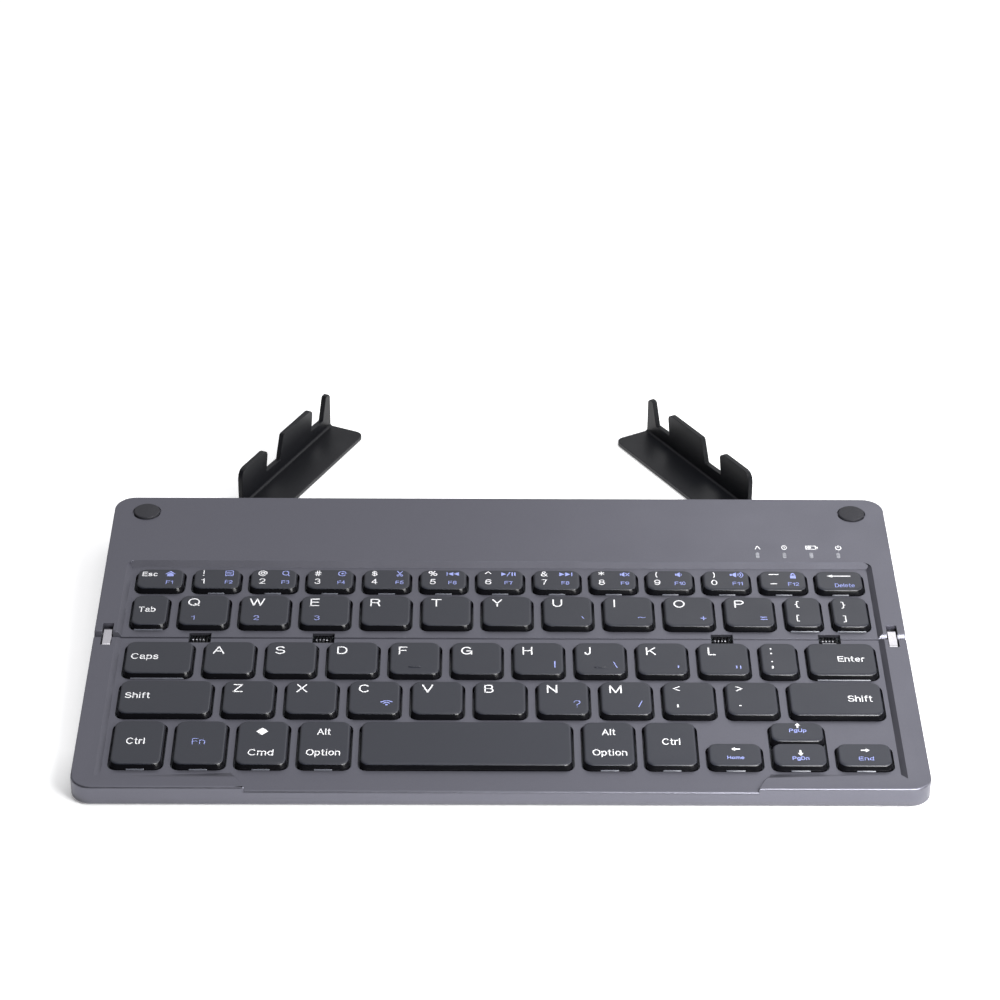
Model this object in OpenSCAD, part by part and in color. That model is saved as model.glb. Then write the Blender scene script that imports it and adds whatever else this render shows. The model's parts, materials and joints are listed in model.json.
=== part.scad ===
// Folding keyboard: two half cases joined by a two-axle link hinge, sixty keys,
// and two swing-out stand arms that carry a phone behind the rear edge.
// Row frame: +X to the right, +Y away from the typist, +Z up, table at z = 0.
// The case frame has its origin on the split line at the top of the rim and is
// tilted up towards the rear, so the keys slope towards the typist.

/* [Case] */
// Overall width of the case
case_w = 250; // [249:0.5:252]
// Depth of the rear half, from the split to the rear edge
rear_d = 76.3; // [76:0.1:77]
// Depth of the front half, from the split to the front edge
front_d = 75.5; // [75.2:0.1:76.5]
// Thickness of the front half
front_t = 6; // [5.8:0.1:6.6]
// Depth of the key deck below the rim
well_h = 1.4; // [1.2:0.1:1.5]
// Tilt of the key plane above the table, in degrees
tilt_deg = 3.6; // [3.5:0.05:3.7]
// Height of the rim above the table at the split
split_z = 11.5; // [11.4:0.1:12]

/* [Keys] */
// Side gap between a cap and its hole
cap_gap = 0.35; // [0.3:0.05:0.5]
// Top of a cap above the rim plane
cap_top = 0.3; // [0.1:0.05:0.35]
// Travel of a key
travel = 1.4; // [1:0.1:1.4]

/* [Hinge] */
// Half the distance between the two hinge axles
axle_y = 3.3; // [3.3:0.05:3.4]
// Depth of the axles below the rim plane
axle_z = 2.8; // [2.7:0.05:2.8]
// Radius of a hinge pin
pin_r = 0.8; // [0.6:0.05:0.9]
// Width of a hinge link
link_w = 2.7; // [2:0.1:2.8]

/* [Stand] */
// Angle between the opened left arm and straight back, in degrees
arm_angle = 26; // [10:1:26]
// The same for the right arm, which is swung out a little less
arm_angle_right = 30.5; // [26:0.5:32]
// Distance of the arm pivots from the centre line
pivot_x = 92.75; // [92.7:0.05:93]
// Length of an arm from its pivot to its tip
arm_len = 90.2; // [88:0.1:90.6]
// Width of an arm across its floor and wall
arm_w = 15.1; // [14.8:0.1:15.2]
// Height of the teeth above the arm floor
tooth_h = 12.5; // [11.5:0.1:12.6]

/* [Hidden] */
$fn = 48;

hw = case_w / 2;
// The row frame's Y = 0 lies midway between the front edge and the arm tips
arm_root_y = 68.4;
y_shift = -(arm_root_y + arm_len * cos(arm_angle) + arm_w / 2 * sin(arm_angle) - front_d * cos(tilt_deg)) / 2;
edge_z = -4.8;          // parting plane between top cases and bottom covers
deck_t = 1;             // thickness of the key deck
skin = 1.2;             // thickness of the covers
wall = 1.6;             // thickness of the side walls
well_x = 118.1;         // half width of the key well at the rim
bevel = 1.6;            // width of the well's sloped sides
well_rear = 40;         // rear edge of the key well
link_x = 120.9;         // middle of a hinge link
roll_r = axle_y - 0.1;  // radius of the rounded split edges
strip_x = 66;           // half width of the slot for the stowed arm walls
floor_z = 2;            // top of an arm's floor above the table
pad_h = 0.5;            // height of the pads under the arms
cell_z = 2.2;           // depth of a cap below the rim plane
dark = [0.16, 0.165, 0.18];
grey = [0.40, 0.40, 0.43];
steel = [0.78, 0.77, 0.79];

// ---- Key layout: [x0, x1, y0, y1] of each hole in the deck ----
num_y = [23.3, 35.3];
q_y = [3.7, 20.9];
a_y = [-21.4, -3.6];
z_y = [-41.4, -23.6];
b_y = [-65.8, -43.6];
low_y = [-65.8, -53.7];
function hole(x0, x1, y) = [x0, x1, y[0], y[1]];
function num(i) = hole(-114.9 + 17.83 * i, -98.9 + 17.83 * i, num_y);
function many(x0, w, pitch, n, y) = [for (i = [0:n - 1]) hole(x0 + pitch * i, x0 + pitch * i + w, y)];
k_esc = [num(0)];
k_number = [for (i = [1:11]) num(i)];
k_delete = [num(12)];
k_tab = [hole(-114.9, -102.5, q_y)];
k_q = many(-100.3, 16.7, 18.83, 10, q_y);
k_open = [hole(88.1, 100.5, q_y)];
k_close = [hole(102.6, 115.1, q_y)];
k_caps = [hole(-114.9, -93.1, a_y)];
k_a = many(-90.9, 16.7, 18.83, 9, a_y);
k_semi = [hole(78.6, 91.1, a_y)];
k_enter = [hole(93.1, 115.1, a_y)];
k_shift_l = [hole(-114.9, -85.9, z_y)];
k_z = many(-83.9, 16.75, 18.85, 9, z_y);
k_shift_r = [hole(85.8, 115.1, z_y)];
k_ctrl_l = [hole(-114.9, -98.5, b_y)];
k_fn = [hole(-96.6, -80.2, b_y)];
k_cmd = [hole(-78.3, -62, b_y)];
k_alt_l = [hole(-60.1, -43.7, b_y)];
k_space = [hole(-41.9, 21.5, b_y)];
k_alt_r = [hole(23.5, 39.9, b_y)];
k_ctrl_r = [hole(41.7, 58.1, b_y)];
k_left = [hole(60, 77, low_y)];
k_up = [hole(78.9, 96, [-54.1, -43.6])];
k_down = [hole(78.9, 96, low_y)];
k_right = [hole(97.9, 115.1, low_y)];
rear_keys = concat(k_esc, k_number, k_delete, k_tab, k_q, k_open, k_close);
front_keys = concat(k_caps, k_a, k_semi, k_enter, k_shift_l, k_z, k_shift_r, k_ctrl_l, k_fn, k_cmd,
  k_alt_l, k_space, k_alt_r, k_ctrl_r, k_left, k_up, k_down, k_right);
// Holes in the deck: the up and down caps share one
front_holes = concat(k_caps, k_a, k_semi, k_enter, k_shift_l, k_z, k_shift_r, k_ctrl_l, k_fn, k_cmd,
  k_alt_l, k_space, k_alt_r, k_ctrl_r, k_left, [hole(78.9, 96, b_y)], k_right);
window_x = [-92.4, -54.4, 68.35, 101.5];
led_x = [82.3, 90.9, 99.5, 108.1];
front_screw_xy = [for (x = [-121.2, 121.2], y = [-16, -42, -66]) [x, y]];
rear_screw_xy = [for (x = [-121.2, 121.2], y = [14, 58]) [x, y]];

// ---- Outline helpers ----
function arc(cx, cy, r, a0, a1, n) = [for (i = [0:n]) let (a = a0 + (a1 - a0) * i / n) [cx + r * cos(a), cy + r * sin(a)]];
function rrect(x0, x1, y0, y1, r, n = 4) = concat(
  arc(x1 - r, y1 - r, r, 0, 90, n), arc(x0 + r, y1 - r, r, 90, 180, n),
  arc(x0 + r, y0 + r, r, 180, 270, n), arc(x1 - r, y0 + r, r, 270, 360, n));
// Rounded only at the rear (side = 1) or at the front (side = -1)
function half_case(x, y0, y1, r, side, n = 8) = side > 0
  ? concat([[x, y0]], arc(x - r, y1 - r, r, 0, 90, n), arc(-x + r, y1 - r, r, 90, 180, n), [[-x, y0]])
  : concat([[-x, y1]], arc(-x + r, y0 + r, r, 180, 270, n), arc(x - r, y0 + r, r, 270, 360, n), [[x, y1]]);
module slab(points, z0, z1) { translate([0, 0, z0]) linear_extrude(z1 - z0) polygon(points); }
module box(x0, x1, y0, y1, z0, z1) { translate([x0, y0, z0]) cube([x1 - x0, y1 - y0, z1 - z0]); }
module along_x(x0, x1, points) { translate([x0, 0, 0]) rotate([90, 0, 90]) linear_extrude(x1 - x0) polygon(points); }
module along_y(y0, y1, points) { translate([0, y1, 0]) rotate([90, 0, 0]) linear_extrude(y1 - y0) polygon(points); }
module rod_x(x0, x1, y, z, r) { translate([x0, y, z]) rotate([0, 90, 0]) cylinder(r = r, h = x1 - x0); }
// Case frame to row frame
module in_case() { translate([0, y_shift, split_z]) rotate([tilt_deg, 0, 0]) children(); }
// Row frame with the split line's foot as the origin
module on_table() { translate([0, y_shift, 0]) children(); }
module sides() { children(); mirror([1, 0, 0]) children(); }

// ---- Shared cuts of the two cases (s = 1 rear, s = -1 front) ----
// Rounded edge along the split, so that both halves roll past each other
module split_roll(s) {
  difference() {
    box(-hw - 1, hw + 1, min(-1 * s, axle_y * s), max(-1 * s, axle_y * s), -axle_z, 3);
    rod_x(-hw - 2, hw + 2, axle_y * s, -axle_z, roll_r);
  }
}
// Open slots for the links, bores for the pins and windows for the cables
module hinge_cuts(s, low) {
  sides() box(link_x - link_w / 2 - 0.3, link_x + link_w / 2 + 0.3, min(0, 5.6 * s), max(0, 5.6 * s), low, 2);
  sides() rod_x(117, 124.3, axle_y * s, -axle_z, pin_r + 0.05);
  for (x = window_x) box(x - 3.4, x + 3.4, min(0, 2.5 * s), max(0, 2.5 * s), -4, 2);
}
module key_holes(list) {
  for (k = list) slab(rrect(k[0], k[1], k[2], k[3], 2.6), -well_h - deck_t - 1, 1);
}
module screw_posts(list, z1) {
  for (p = list) translate([p[0], p[1], edge_z]) cylinder(r = 2.5, h = z1 - edge_z);
}
module screw_bores(list, z0, z1) {
  for (p = list) translate([p[0], p[1], z0]) cylinder(r = 1.05, h = z1 - z0);
}
// Key well with sloped rear and sides, open towards y0
module well(y0, y1) {
  intersection() {
    along_y(y0, y1, [[-well_x - 1, 0.875], [well_x + 1, 0.875], [well_x - bevel, -well_h], [-well_x + bevel, -well_h]]);
    along_x(-well_x - 1, well_x + 1, [[y0, -well_h], [y1 - 1.9, -well_h], [y1 + 1.1, 0.81], [y0, 0.81]]);
    slab(rrect(-well_x, well_x, y0 - 9, y1, 3), -3, 0.8);
  }
}

// ---- Rear half ----
function rear_outline(inset) = half_case(hw - inset, 0.15 + inset, rear_d - inset, 6.5 - inset, 1);
// Side profile of the underside in the row frame, raised by the skin for the inside
function belly(up) = [[-5, 5.2 + up], [8 + up / 4, 6 + up], [24 + up / 3, 0.8 + up], [90, 0.8 + up], [90, 30], [-5, 30]];
module rear_body() {
  intersection() {
    in_case() slab(rear_outline(0), -24, 0);
    on_table() along_x(-hw - 1, hw + 1, belly(0));
  }
}
module above_parting() { in_case() box(-hw - 2, hw + 2, -2, rear_d + 4, edge_z, 3); }
module below_parting() { in_case() box(-hw - 2, hw + 2, -2, rear_d + 4, -30, edge_z); }
// Recess under the rear edge for the arm floors, and the slot for their walls
module arm_recess() {
  on_table() sides() {
    box(1.5, pivot_x + arm_w / 2 + 0.5, arm_root_y - arm_w / 2 - 0.4, 82, -1, floor_z + 0.35);
    box(1.5, strip_x, 73.75, 82, -1, floor_z + tooth_h + 0.45);
    box(1.5, strip_x, 72.6, 82, -1, floor_z + 1.4);
  }
}
module arm_recess_skin() {
  on_table() {
    box(-102, 102, 59.2, 90, -1, floor_z + 0.35 + skin);
    box(-strip_x - 1.3, strip_x + 1.3, 72.5, 90, -1, 20);
    box(-strip_x - 1.3, strip_x + 1.3, 71.4, 90, -1, floor_z + 1.4 + skin);
  }
}
module rear_top_case() color(grey) difference() {
  union() {
    difference() {
      in_case() slab(rear_outline(0), edge_z, 0);
      difference() {
        in_case() {
          slab(rear_outline(wall), edge_z - 1, -well_h - deck_t);
          box(-hw + wall, hw - wall, well_rear + 0.5, 60, -3, -1.3);
          slab([[-110, 55], [110, 55], [110, rear_d - wall], [-110, rear_d - wall]], -3, -1.2);
        }
        arm_recess_skin();
        in_case() sides() box(117.6, hw, 0, 8, edge_z - 1, 0);
      }
    }
    in_case() screw_posts(rear_screw_xy, -1);
    in_case() for (x = stake_x) translate([x, stake_y, -4.2]) cylinder(r = 0.8, h = 2.2);
  }
  in_case() {
    well(-5, well_rear);
    key_holes(rear_keys);
    hinge_cuts(1, edge_z - 1);
    split_roll(1);
    screw_bores(rear_screw_xy, edge_z - 1, -2.5);
    for (x = led_x) slab(rrect(x - 0.65, x + 0.65, 42.2, 45.4, 0.64), -4, 1);
    sides() translate([114.4, 67.6, -0.6]) cylinder(r = 4.6, h = 2);
    box(123, hw + 1, 40.6, 46, -4.4, -3);
    box(122, hw + 1, 46.9, 54.7, -5.3, -2);
  }
  arm_recess();
}
module rear_bottom_cover() color(grey * 0.62) {
  difference() {
    union() {
      difference() {
        intersection() { rear_body(); below_parting(); }
        difference() {
          intersection() {
            in_case() slab(rear_outline(wall), -24, edge_z + 1);
            on_table() along_x(-hw, hw, belly(skin));
          }
          arm_recess_skin();
          in_case() sides() box(117.6, hw, 0, 8, -24, 0);
        }
      }
      intersection() {
        union() {
          in_case() for (p = rear_screw_xy) translate([p[0], p[1], -24]) cylinder(r = 3, h = 24 + edge_z);
          on_table() {
            sides() translate([pivot_x, arm_root_y, 0]) cylinder(r = 4.5, h = 8);
            for (x = [34, 108], y = [43, 52]) translate([x, y, 1]) cylinder(r = 2, h = 20);
          }
        }
        difference() {
          rear_body();
          in_case() box(28, 114, 38, 60, -6.2, 0);
          in_case() box(-hw - 2, hw + 2, -2, rear_d + 4, edge_z, 3);
        }
      }
    }
    arm_recess();
    on_table() {
      sides() translate([pivot_x, arm_root_y, -1]) cylinder(r = 2.05, h = 8.3);
      for (p = rear_feet_xy) translate([p[0], p[1], -1]) cylinder(r = 4.1, h = 2.2);
    }
    in_case() {
      hinge_cuts(1, -5.1);
      box(122, hw + 1, 46.9, 54.7, -5.3, -2);
      for (p = rear_screw_xy) translate([p[0], p[1], 0]) {
        translate([0, 0, -24]) cylinder(r = 2.15, h = 24 - 6.4);
        translate([0, 0, -7]) cylinder(r = 1.1, h = 7);
      }
    }
  }
}
rear_feet_xy = [[-113, 54], [113, 54], [-113, 28], [113, 28], [0, 28]];
module rear_key_plate() color(steel * 0.8) in_case() slab(rrect(-116.6, 116.6, 2.4, 37.6, 1), -4.6, -4.2);
// Stakes under the deck that hold the plate down, through holes in the membrane
stake_x = [-100, -60, -20, 20, 60, 100];
stake_y = 22.1;
module rear_membrane() color([0.75, 0.78, 0.8, 0.9]) in_case() difference() {
  slab(rrect(-116.2, 116.2, 2.6, 37.2, 1), -4.2, -4);
  for (x = stake_x) translate([x, stake_y, -5]) cylinder(r = 1.1, h = 2);
}
// Rubber domes, drawn pressed flat enough to clear a key at the end of its travel
module domes(list) {
  for (k = list) translate([(k[0] + k[1]) / 2, (k[2] + k[3]) / 2, -4])
    rotate_extrude() polygon([[0, 0], [1.6, 0], [1.6, 0.25], [1.4, 0.3], [1, 1.3], [0.7, 1.5], [0, 1.5]]);
}
// Two nested frames per key that lie flat on the membrane
module frame_ring(w, d, bar, z0, z1) {
  translate([0, 0, z0]) linear_extrude(z1 - z0) difference() {
    square([w, d], center = true);
    square([w - 2 * bar, d - 2 * bar], center = true);
  }
}
module scissors(list) {
  for (k = list) {
    w = min(10, k[1] - k[0] - 2 * cap_gap - 3);
    d = min(7.8, k[3] - k[2] - 2 * cap_gap - 3.2);
    translate([(k[0] + k[1]) / 2, (k[2] + k[3]) / 2, 0]) {
      frame_ring(w, d, 0.8, -4, -3.2);
      frame_ring(w - 1.9, d - 1.9, 0.7, -4, -3.2);
    }
  }
}
module rear_domes() color([0.85, 0.85, 0.85]) in_case() domes(rear_keys);
module rear_scissor_links() color([0.9, 0.9, 0.88]) in_case() scissors(rear_keys);
// Board with its controller, indicator lamps, port pads and slide switch housing
module main_board() color([0.05, 0.3, 0.18]) in_case() union() {
  box(30, 119, 40.2, 54.8, -6.2, -5.2);
  box(60, 70, 43, 53, -5.3, -4.2);
  box(76, 80, 49, 53, -5.3, -4.4);
  for (x = led_x) box(x - 0.8, x + 0.8, 42.8, 44.8, -5.3, -4.2);
  difference() {
    box(115, 121.4, 40.4, 46.3, -5.3, -2.7);
    box(119.6, 122, 40.8, 46, -4.4, -3);
  }
  box(40, 56, 41, 45, -5.3, -4.5);
}
module battery() color([0.55, 0.57, 0.6]) on_table() slab(rrect(-72, 8, 27, 57, 1.5), 2, 6.4);
module battery_leads() color([0.7, 0.1, 0.1]) on_table() for (y = [46, 48.4]) union() {
  rod_x(8, 36.6, y, 5, 0.6);
  translate([36, y, 5]) cylinder(r = 0.6, h = split_z - 6.2 * cos(tilt_deg) + y * tan(tilt_deg) - 5.05);
}
module led_light_pipes() color([0.75, 0.78, 0.82]) in_case() for (x = led_x) slab(rrect(x - 0.6, x + 0.6, 42.25, 45.35, 0.59), -4.2, 0);
module power_switch_knob() color(dark) in_case() box(119.7, 125.15, 40.9, 43.7, -4.3, -3.1);
module charge_port() color(steel) in_case() difference() {
  slab(rrect(118, 124.8, 47, 54.6, 0.4), -5.2, -2.1);
  box(119.5, 125.5, 47.5, 54.1, -4.8, -2.5);
}
module corner_bumpers() color([0.2, 0.2, 0.22]) in_case() sides() translate([114.4, 67.6, -0.6]) cylinder(r = 4.5, h = 1.2);
module rear_feet() color([0.12, 0.12, 0.13]) on_table() for (p = rear_feet_xy) translate([p[0], p[1], 0]) cylinder(r = 4, h = 1.2);
module screw(seat, head) {
  union() {
    translate([0, 0, seat - head]) cylinder(r = 1.9, h = head);
    translate([0, 0, seat - 0.1]) cylinder(r = 1, h = -2.7 - seat + 0.1);
  }
}
module rear_screws() color(steel) in_case() for (p = rear_screw_xy) translate([p[0], p[1], 0]) screw(-6.4, 1);
module hinge_pins(s) { in_case() sides() rod_x(117.9, 124.2, axle_y * s, -axle_z, pin_r); }
module rear_hinge_pins() color(steel) hinge_pins(1);
module arm_pivot_screws() color(steel) on_table() sides() translate([pivot_x, arm_root_y, 0]) union() {
  translate([0, 0, 0.55]) cylinder(r = 3.4, h = 0.6);
  translate([0, 0, 1.1]) cylinder(r = 2, h = 5.9);
}
module closure_magnets_rear() color(steel) in_case() sides() translate([103, 70.9, -2.8]) cylinder(r = 2.4, h = 1.6);

// ---- Stand arms ----
module arm_blank() {
  difference() {
    union() {
      // Floor with a round end about the pivot
      translate([0, 0, pad_h]) linear_extrude(floor_z - pad_h) polygon(concat(
        arc(0, 0, arm_w / 2, 90, 270, 14), arc(arm_len - 3, -arm_w / 2 + 3, 3, 270, 360, 4), [[arm_len, arm_w / 2]]));
      // Toothed wall: two phone slots between three teeth
      translate([0, arm_w / 2, floor_z]) rotate([90, 0, 0]) linear_extrude(1.8) polygon([
        [28.5, -1.2], [arm_len, -1.2], [arm_len, tooth_h - 1], [arm_len - 1, tooth_h], [87.6, tooth_h], [87, tooth_h - 0.5], [84.6, 4.2],
        [76.4, 4.4], [77.4, 10.6], [77.1, 11.6], [76.2, 12.2], [75.2, tooth_h], [57.6, tooth_h], [56.9, tooth_h - 0.5], [54.2, 4.2],
        [44.8, 4.4], [45.9, 10.4], [45.6, 11.4], [44.6, 12.1], [43.4, tooth_h], [31.6, tooth_h], [29.9, 12], [28.9, 10.8], [28.5, 9]]);
      // Fillet between floor and wall
      translate([28.5, 0, floor_z]) rotate([90, 0, 90]) linear_extrude(arm_len - 28.5)
        polygon([[arm_w / 2 - 1.7, -0.2], [arm_w / 2 - 2.4, -0.2], [arm_w / 2 - 2.4, 0], [arm_w / 2 - 1.8, 0.5], [arm_w / 2 - 1.7, 0.5]]);
    }
    translate([0, 0, -1]) cylinder(r = 2.06, h = 5);
    translate([0, 0, -1]) cylinder(r = 3.7, h = 2.25);
    for (u = [24, 80]) translate([u, -1, -1]) cylinder(r = 3.1, h = 1.9);
  }
}
module arm_place(a) { on_table() translate([-pivot_x, arm_root_y, 0]) rotate([0, 0, 90 - a]) children(); }
module arm_pads() { for (u = [24, 80]) translate([u, -1, 0]) cylinder(r = 3, h = 0.85); }
module stand_arm_left() color(dark) arm_place(arm_angle) arm_blank();
module stand_arm_right() color(dark) mirror([1, 0, 0]) arm_place(arm_angle_right) arm_blank();
module arm_pad_left() color([0.1, 0.1, 0.1]) arm_place(arm_angle) arm_pads();
module arm_pad_right() color([0.1, 0.1, 0.1]) mirror([1, 0, 0]) arm_place(arm_angle_right) arm_pads();

// ---- Hinge ----
module hinge_link() {
  r = 1.9;
  in_case() difference() {
    along_x(link_x - link_w / 2, link_x + link_w / 2,
      concat(arc(axle_y, -axle_z, r, -90, 90, 10), arc(-axle_y, -axle_z, r, 90, 270, 10)));
    rod_x(link_x - 3, link_x + 3, axle_y, -axle_z, pin_r + 0.05);
    rod_x(link_x - 3, link_x + 3, -axle_y, -axle_z, pin_r + 0.05);
  }
}
module hinge_link_right() color(steel) hinge_link();
module hinge_link_left() color(steel) mirror([1, 0, 0]) hinge_link();
// Five-wire cables that cross the split in its four windows
module flex_cables() color([0.08, 0.08, 0.09]) in_case() for (x = window_x, i = [-2:2])
  union() {
    box(x + i * 1.05 - 0.4, x + i * 1.05 + 0.4, -3.8, 3.8, -3.4, -2.6);
    for (y = [-3.8, 3]) box(x + i * 1.05 - 0.4, x + i * 1.05 + 0.4, y, y + 0.8, -4, -3.3);
  }

// ---- Front half ----
function front_outline(inset) = half_case(hw - inset, -front_d + inset, -0.15 - inset, 8.5 - inset, -1);
// Deck level: the well, ramps up to the front corners, and a finger recess in the middle
module front_well() {
  intersection() {
    along_y(-front_d - 1, 5, [[-well_x - 1, 0.875], [well_x + 1, 0.875], [well_x - bevel, -well_h], [-well_x + bevel, -well_h]]);
    along_x(-well_x - 1, well_x + 1, [[5, -well_h], [-66.9, -well_h], [-72.6, 0.8], [5, 0.8]]);
  }
  slab([[-78.6, -66.6], [-77.9, -68.6], [-76.9, -70.2], [-75.9, -71.8], [-75.2, -73.4], [-74.3, -75], [-73.6, -77],
    [73.6, -77], [74.3, -75], [75.2, -73.4], [75.9, -71.8], [76.9, -70.2], [77.9, -68.6], [78.6, -66.6]], -well_h, 2);
}
module front_top_case() color(grey) in_case() difference() {
  union() {
    difference() {
      slab(front_outline(0), edge_z, 0);
      difference() {
        slab(front_outline(wall), edge_z - 1, -well_h - deck_t);
        sides() box(117.6, hw, -8, 0, edge_z - 1, 0);
      }
    }
    screw_posts(front_screw_xy, -1);
  }
  front_well();
  key_holes(front_holes);
  hinge_cuts(-1, edge_z - 1);
  split_roll(-1);
  screw_bores(front_screw_xy, edge_z - 1, -2.5);
}
module front_bottom_cover() color(grey * 0.62) difference() {
  in_case() difference() {
    slab(front_outline(0), -front_t, edge_z);
    hinge_cuts(-1, -5.1);
    for (p = front_screw_xy) translate([p[0], p[1], 0]) {
      translate([0, 0, -8]) cylinder(r = 2.05, h = 8 - 5.3);
      translate([0, 0, -7]) cylinder(r = 1.1, h = 4);
    }
    for (p = front_feet_xy) translate([p[0], p[1], -8]) cylinder(r = 4.2, h = 8 - front_t + 0.4);
  }
}
front_feet_xy = [[-112, -60], [112, -60]];
module front_key_plate() color(steel * 0.8) in_case() slab(rrect(-116.6, 116.6, -68.4, -2.4, 1), -4.8, -4.2);
module front_membrane() color([0.75, 0.78, 0.8, 0.9]) in_case() slab(rrect(-116.2, 116.2, -68, -2.6, 1), -4.2, -4);
module front_domes() color([0.85, 0.85, 0.85]) in_case() domes(front_keys);
module front_scissor_links() color([0.9, 0.9, 0.88]) in_case() scissors(front_keys);
// Feet with their soles cut level with the table
module front_feet() color([0.12, 0.12, 0.13]) intersection() {
  in_case() for (p = front_feet_xy) translate([p[0], p[1], -10]) cylinder(r = 4.05, h = 10 - front_t + 0.4);
  on_table() box(-hw, hw, -front_d, 0, 0, 10);
}
module front_screws() color(steel) in_case() for (p = front_screw_xy) translate([p[0], p[1], 0]) screw(-5.3, 0.7);
module front_hinge_pins() color(steel) hinge_pins(-1);
module closure_magnets_front() color(steel) in_case() sides() translate([103, -70.9, -4]) cylinder(r = 2.4, h = 1.6);

// ---- Keycaps: a hollow base with a smaller crown that slopes most at the front ----
module keycaps(list) {
  color(dark) in_case() for (k = list) {
    x0 = k[0] + cap_gap; x1 = k[1] - cap_gap; y0 = k[2] + cap_gap; y1 = k[3] - cap_gap;
    difference() {
      union() {
        slab(rrect(x0, x1, y0, y1, 2.4), -cell_z, -0.6);
        slab(rrect(x0 + 0.4, x1 - 0.4, y0 + 0.7, y1 - 0.3, 2.2), -0.7, cap_top);
      }
      slab(rrect(x0 + 1.1, x1 - 1.1, y0 + 1.3, y1 - 1.1, 1.4, 2), -cell_z - 1, -0.9);
    }
  }
}
module key_esc() keycaps(k_esc);
module keys_number_row() keycaps(k_number);
module key_delete() keycaps(k_delete);
module key_tab() keycaps(k_tab);
module keys_q_row() keycaps(k_q);
module key_bracket_open() keycaps(k_open);
module key_bracket_close() keycaps(k_close);
module key_caps() keycaps(k_caps);
module keys_a_row() keycaps(k_a);
module key_semicolon() keycaps(k_semi);
module key_enter() keycaps(k_enter);
module key_shift_left() keycaps(k_shift_l);
module keys_z_row() keycaps(k_z);
module key_shift_right() keycaps(k_shift_r);
module key_ctrl_left() keycaps(k_ctrl_l);
module key_fn() keycaps(k_fn);
module key_cmd() keycaps(k_cmd);
module key_alt_left() keycaps(k_alt_l);
module key_space() keycaps(k_space);
module key_alt_right() keycaps(k_alt_r);
module key_ctrl_right() keycaps(k_ctrl_r);
module key_left() keycaps(k_left);
module key_up() keycaps(k_up);
module key_down() keycaps(k_down);
module key_right() keycaps(k_right);

rear_top_case();
rear_bottom_cover();
rear_key_plate();
rear_membrane();
rear_domes();
rear_scissor_links();
main_board();
battery();
battery_leads();
led_light_pipes();
power_switch_knob();
charge_port();
corner_bumpers();
rear_feet();
rear_screws();
rear_hinge_pins();
arm_pivot_screws();
closure_magnets_rear();
stand_arm_left();
stand_arm_right();
arm_pad_left();
arm_pad_right();
hinge_link_left();
hinge_link_right();
flex_cables();
front_hinge_pins();
front_top_case();
front_bottom_cover();
front_key_plate();
front_membrane();
front_domes();
front_scissor_links();
front_feet();
front_screws();
closure_magnets_front();
key_esc();
keys_number_row();
key_delete();
key_tab();
keys_q_row();
key_bracket_open();
key_bracket_close();
key_caps();
keys_a_row();
key_semicolon();
key_enter();
key_shift_left();
keys_z_row();
key_shift_right();
key_ctrl_left();
key_fn();
key_cmd();
key_alt_left();
key_space();
key_alt_right();
key_ctrl_right();
key_left();
key_up();
key_down();
key_right();
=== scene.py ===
import bpy
import bmesh
import json
import math
from mathutils import Matrix, Vector

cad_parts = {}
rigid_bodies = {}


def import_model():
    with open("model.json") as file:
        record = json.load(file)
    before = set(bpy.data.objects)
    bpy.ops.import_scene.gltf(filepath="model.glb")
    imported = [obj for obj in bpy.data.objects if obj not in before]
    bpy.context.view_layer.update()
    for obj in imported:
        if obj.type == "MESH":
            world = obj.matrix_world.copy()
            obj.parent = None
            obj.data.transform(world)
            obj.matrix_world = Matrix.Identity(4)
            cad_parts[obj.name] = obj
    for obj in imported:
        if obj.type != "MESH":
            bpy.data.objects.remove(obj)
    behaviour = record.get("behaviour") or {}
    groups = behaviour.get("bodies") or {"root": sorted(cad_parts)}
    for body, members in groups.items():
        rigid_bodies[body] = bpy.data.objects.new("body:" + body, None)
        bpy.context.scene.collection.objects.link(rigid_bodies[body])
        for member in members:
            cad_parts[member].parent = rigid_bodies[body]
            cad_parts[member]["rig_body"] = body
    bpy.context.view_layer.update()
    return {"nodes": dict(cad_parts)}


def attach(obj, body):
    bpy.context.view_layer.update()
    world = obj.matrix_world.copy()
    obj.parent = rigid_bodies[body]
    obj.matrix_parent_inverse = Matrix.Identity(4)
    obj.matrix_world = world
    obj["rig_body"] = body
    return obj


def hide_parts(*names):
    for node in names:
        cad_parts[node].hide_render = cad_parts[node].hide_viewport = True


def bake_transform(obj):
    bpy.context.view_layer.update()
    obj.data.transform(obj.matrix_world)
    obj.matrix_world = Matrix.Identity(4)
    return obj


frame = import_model()
nodes = frame["nodes"]

# ---------------------------------------------------------------- frames
TILT = math.radians(3.6)
Y_SHIFT = -38.714953569
# case frame in millimetres (origin on the split at rim height) -> row frame in metres
CASE = Matrix.Translation((0, Y_SHIFT / 1000, 0.0115)) @ Matrix.Rotation(TILT, 4, "X") @ Matrix.Scale(0.001, 4)
UNCASE = CASE.inverted()
TABLE = Matrix.Translation((0, Y_SHIFT / 1000, 0)) @ Matrix.Scale(0.001, 4)
TOP = 0.3       # cap tops above the rim, mm
INK = 0.018     # printed legends above the surface, mm


# ---------------------------------------------------------------- materials
def lin(r, g, b):
    """sRGB 0-255 to linear."""
    def f(v):
        v /= 255
        return v / 12.92 if v <= 0.04045 else ((v + 0.055) / 1.055) ** 2.4
    return (f(r), f(g), f(b), 1)


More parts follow.
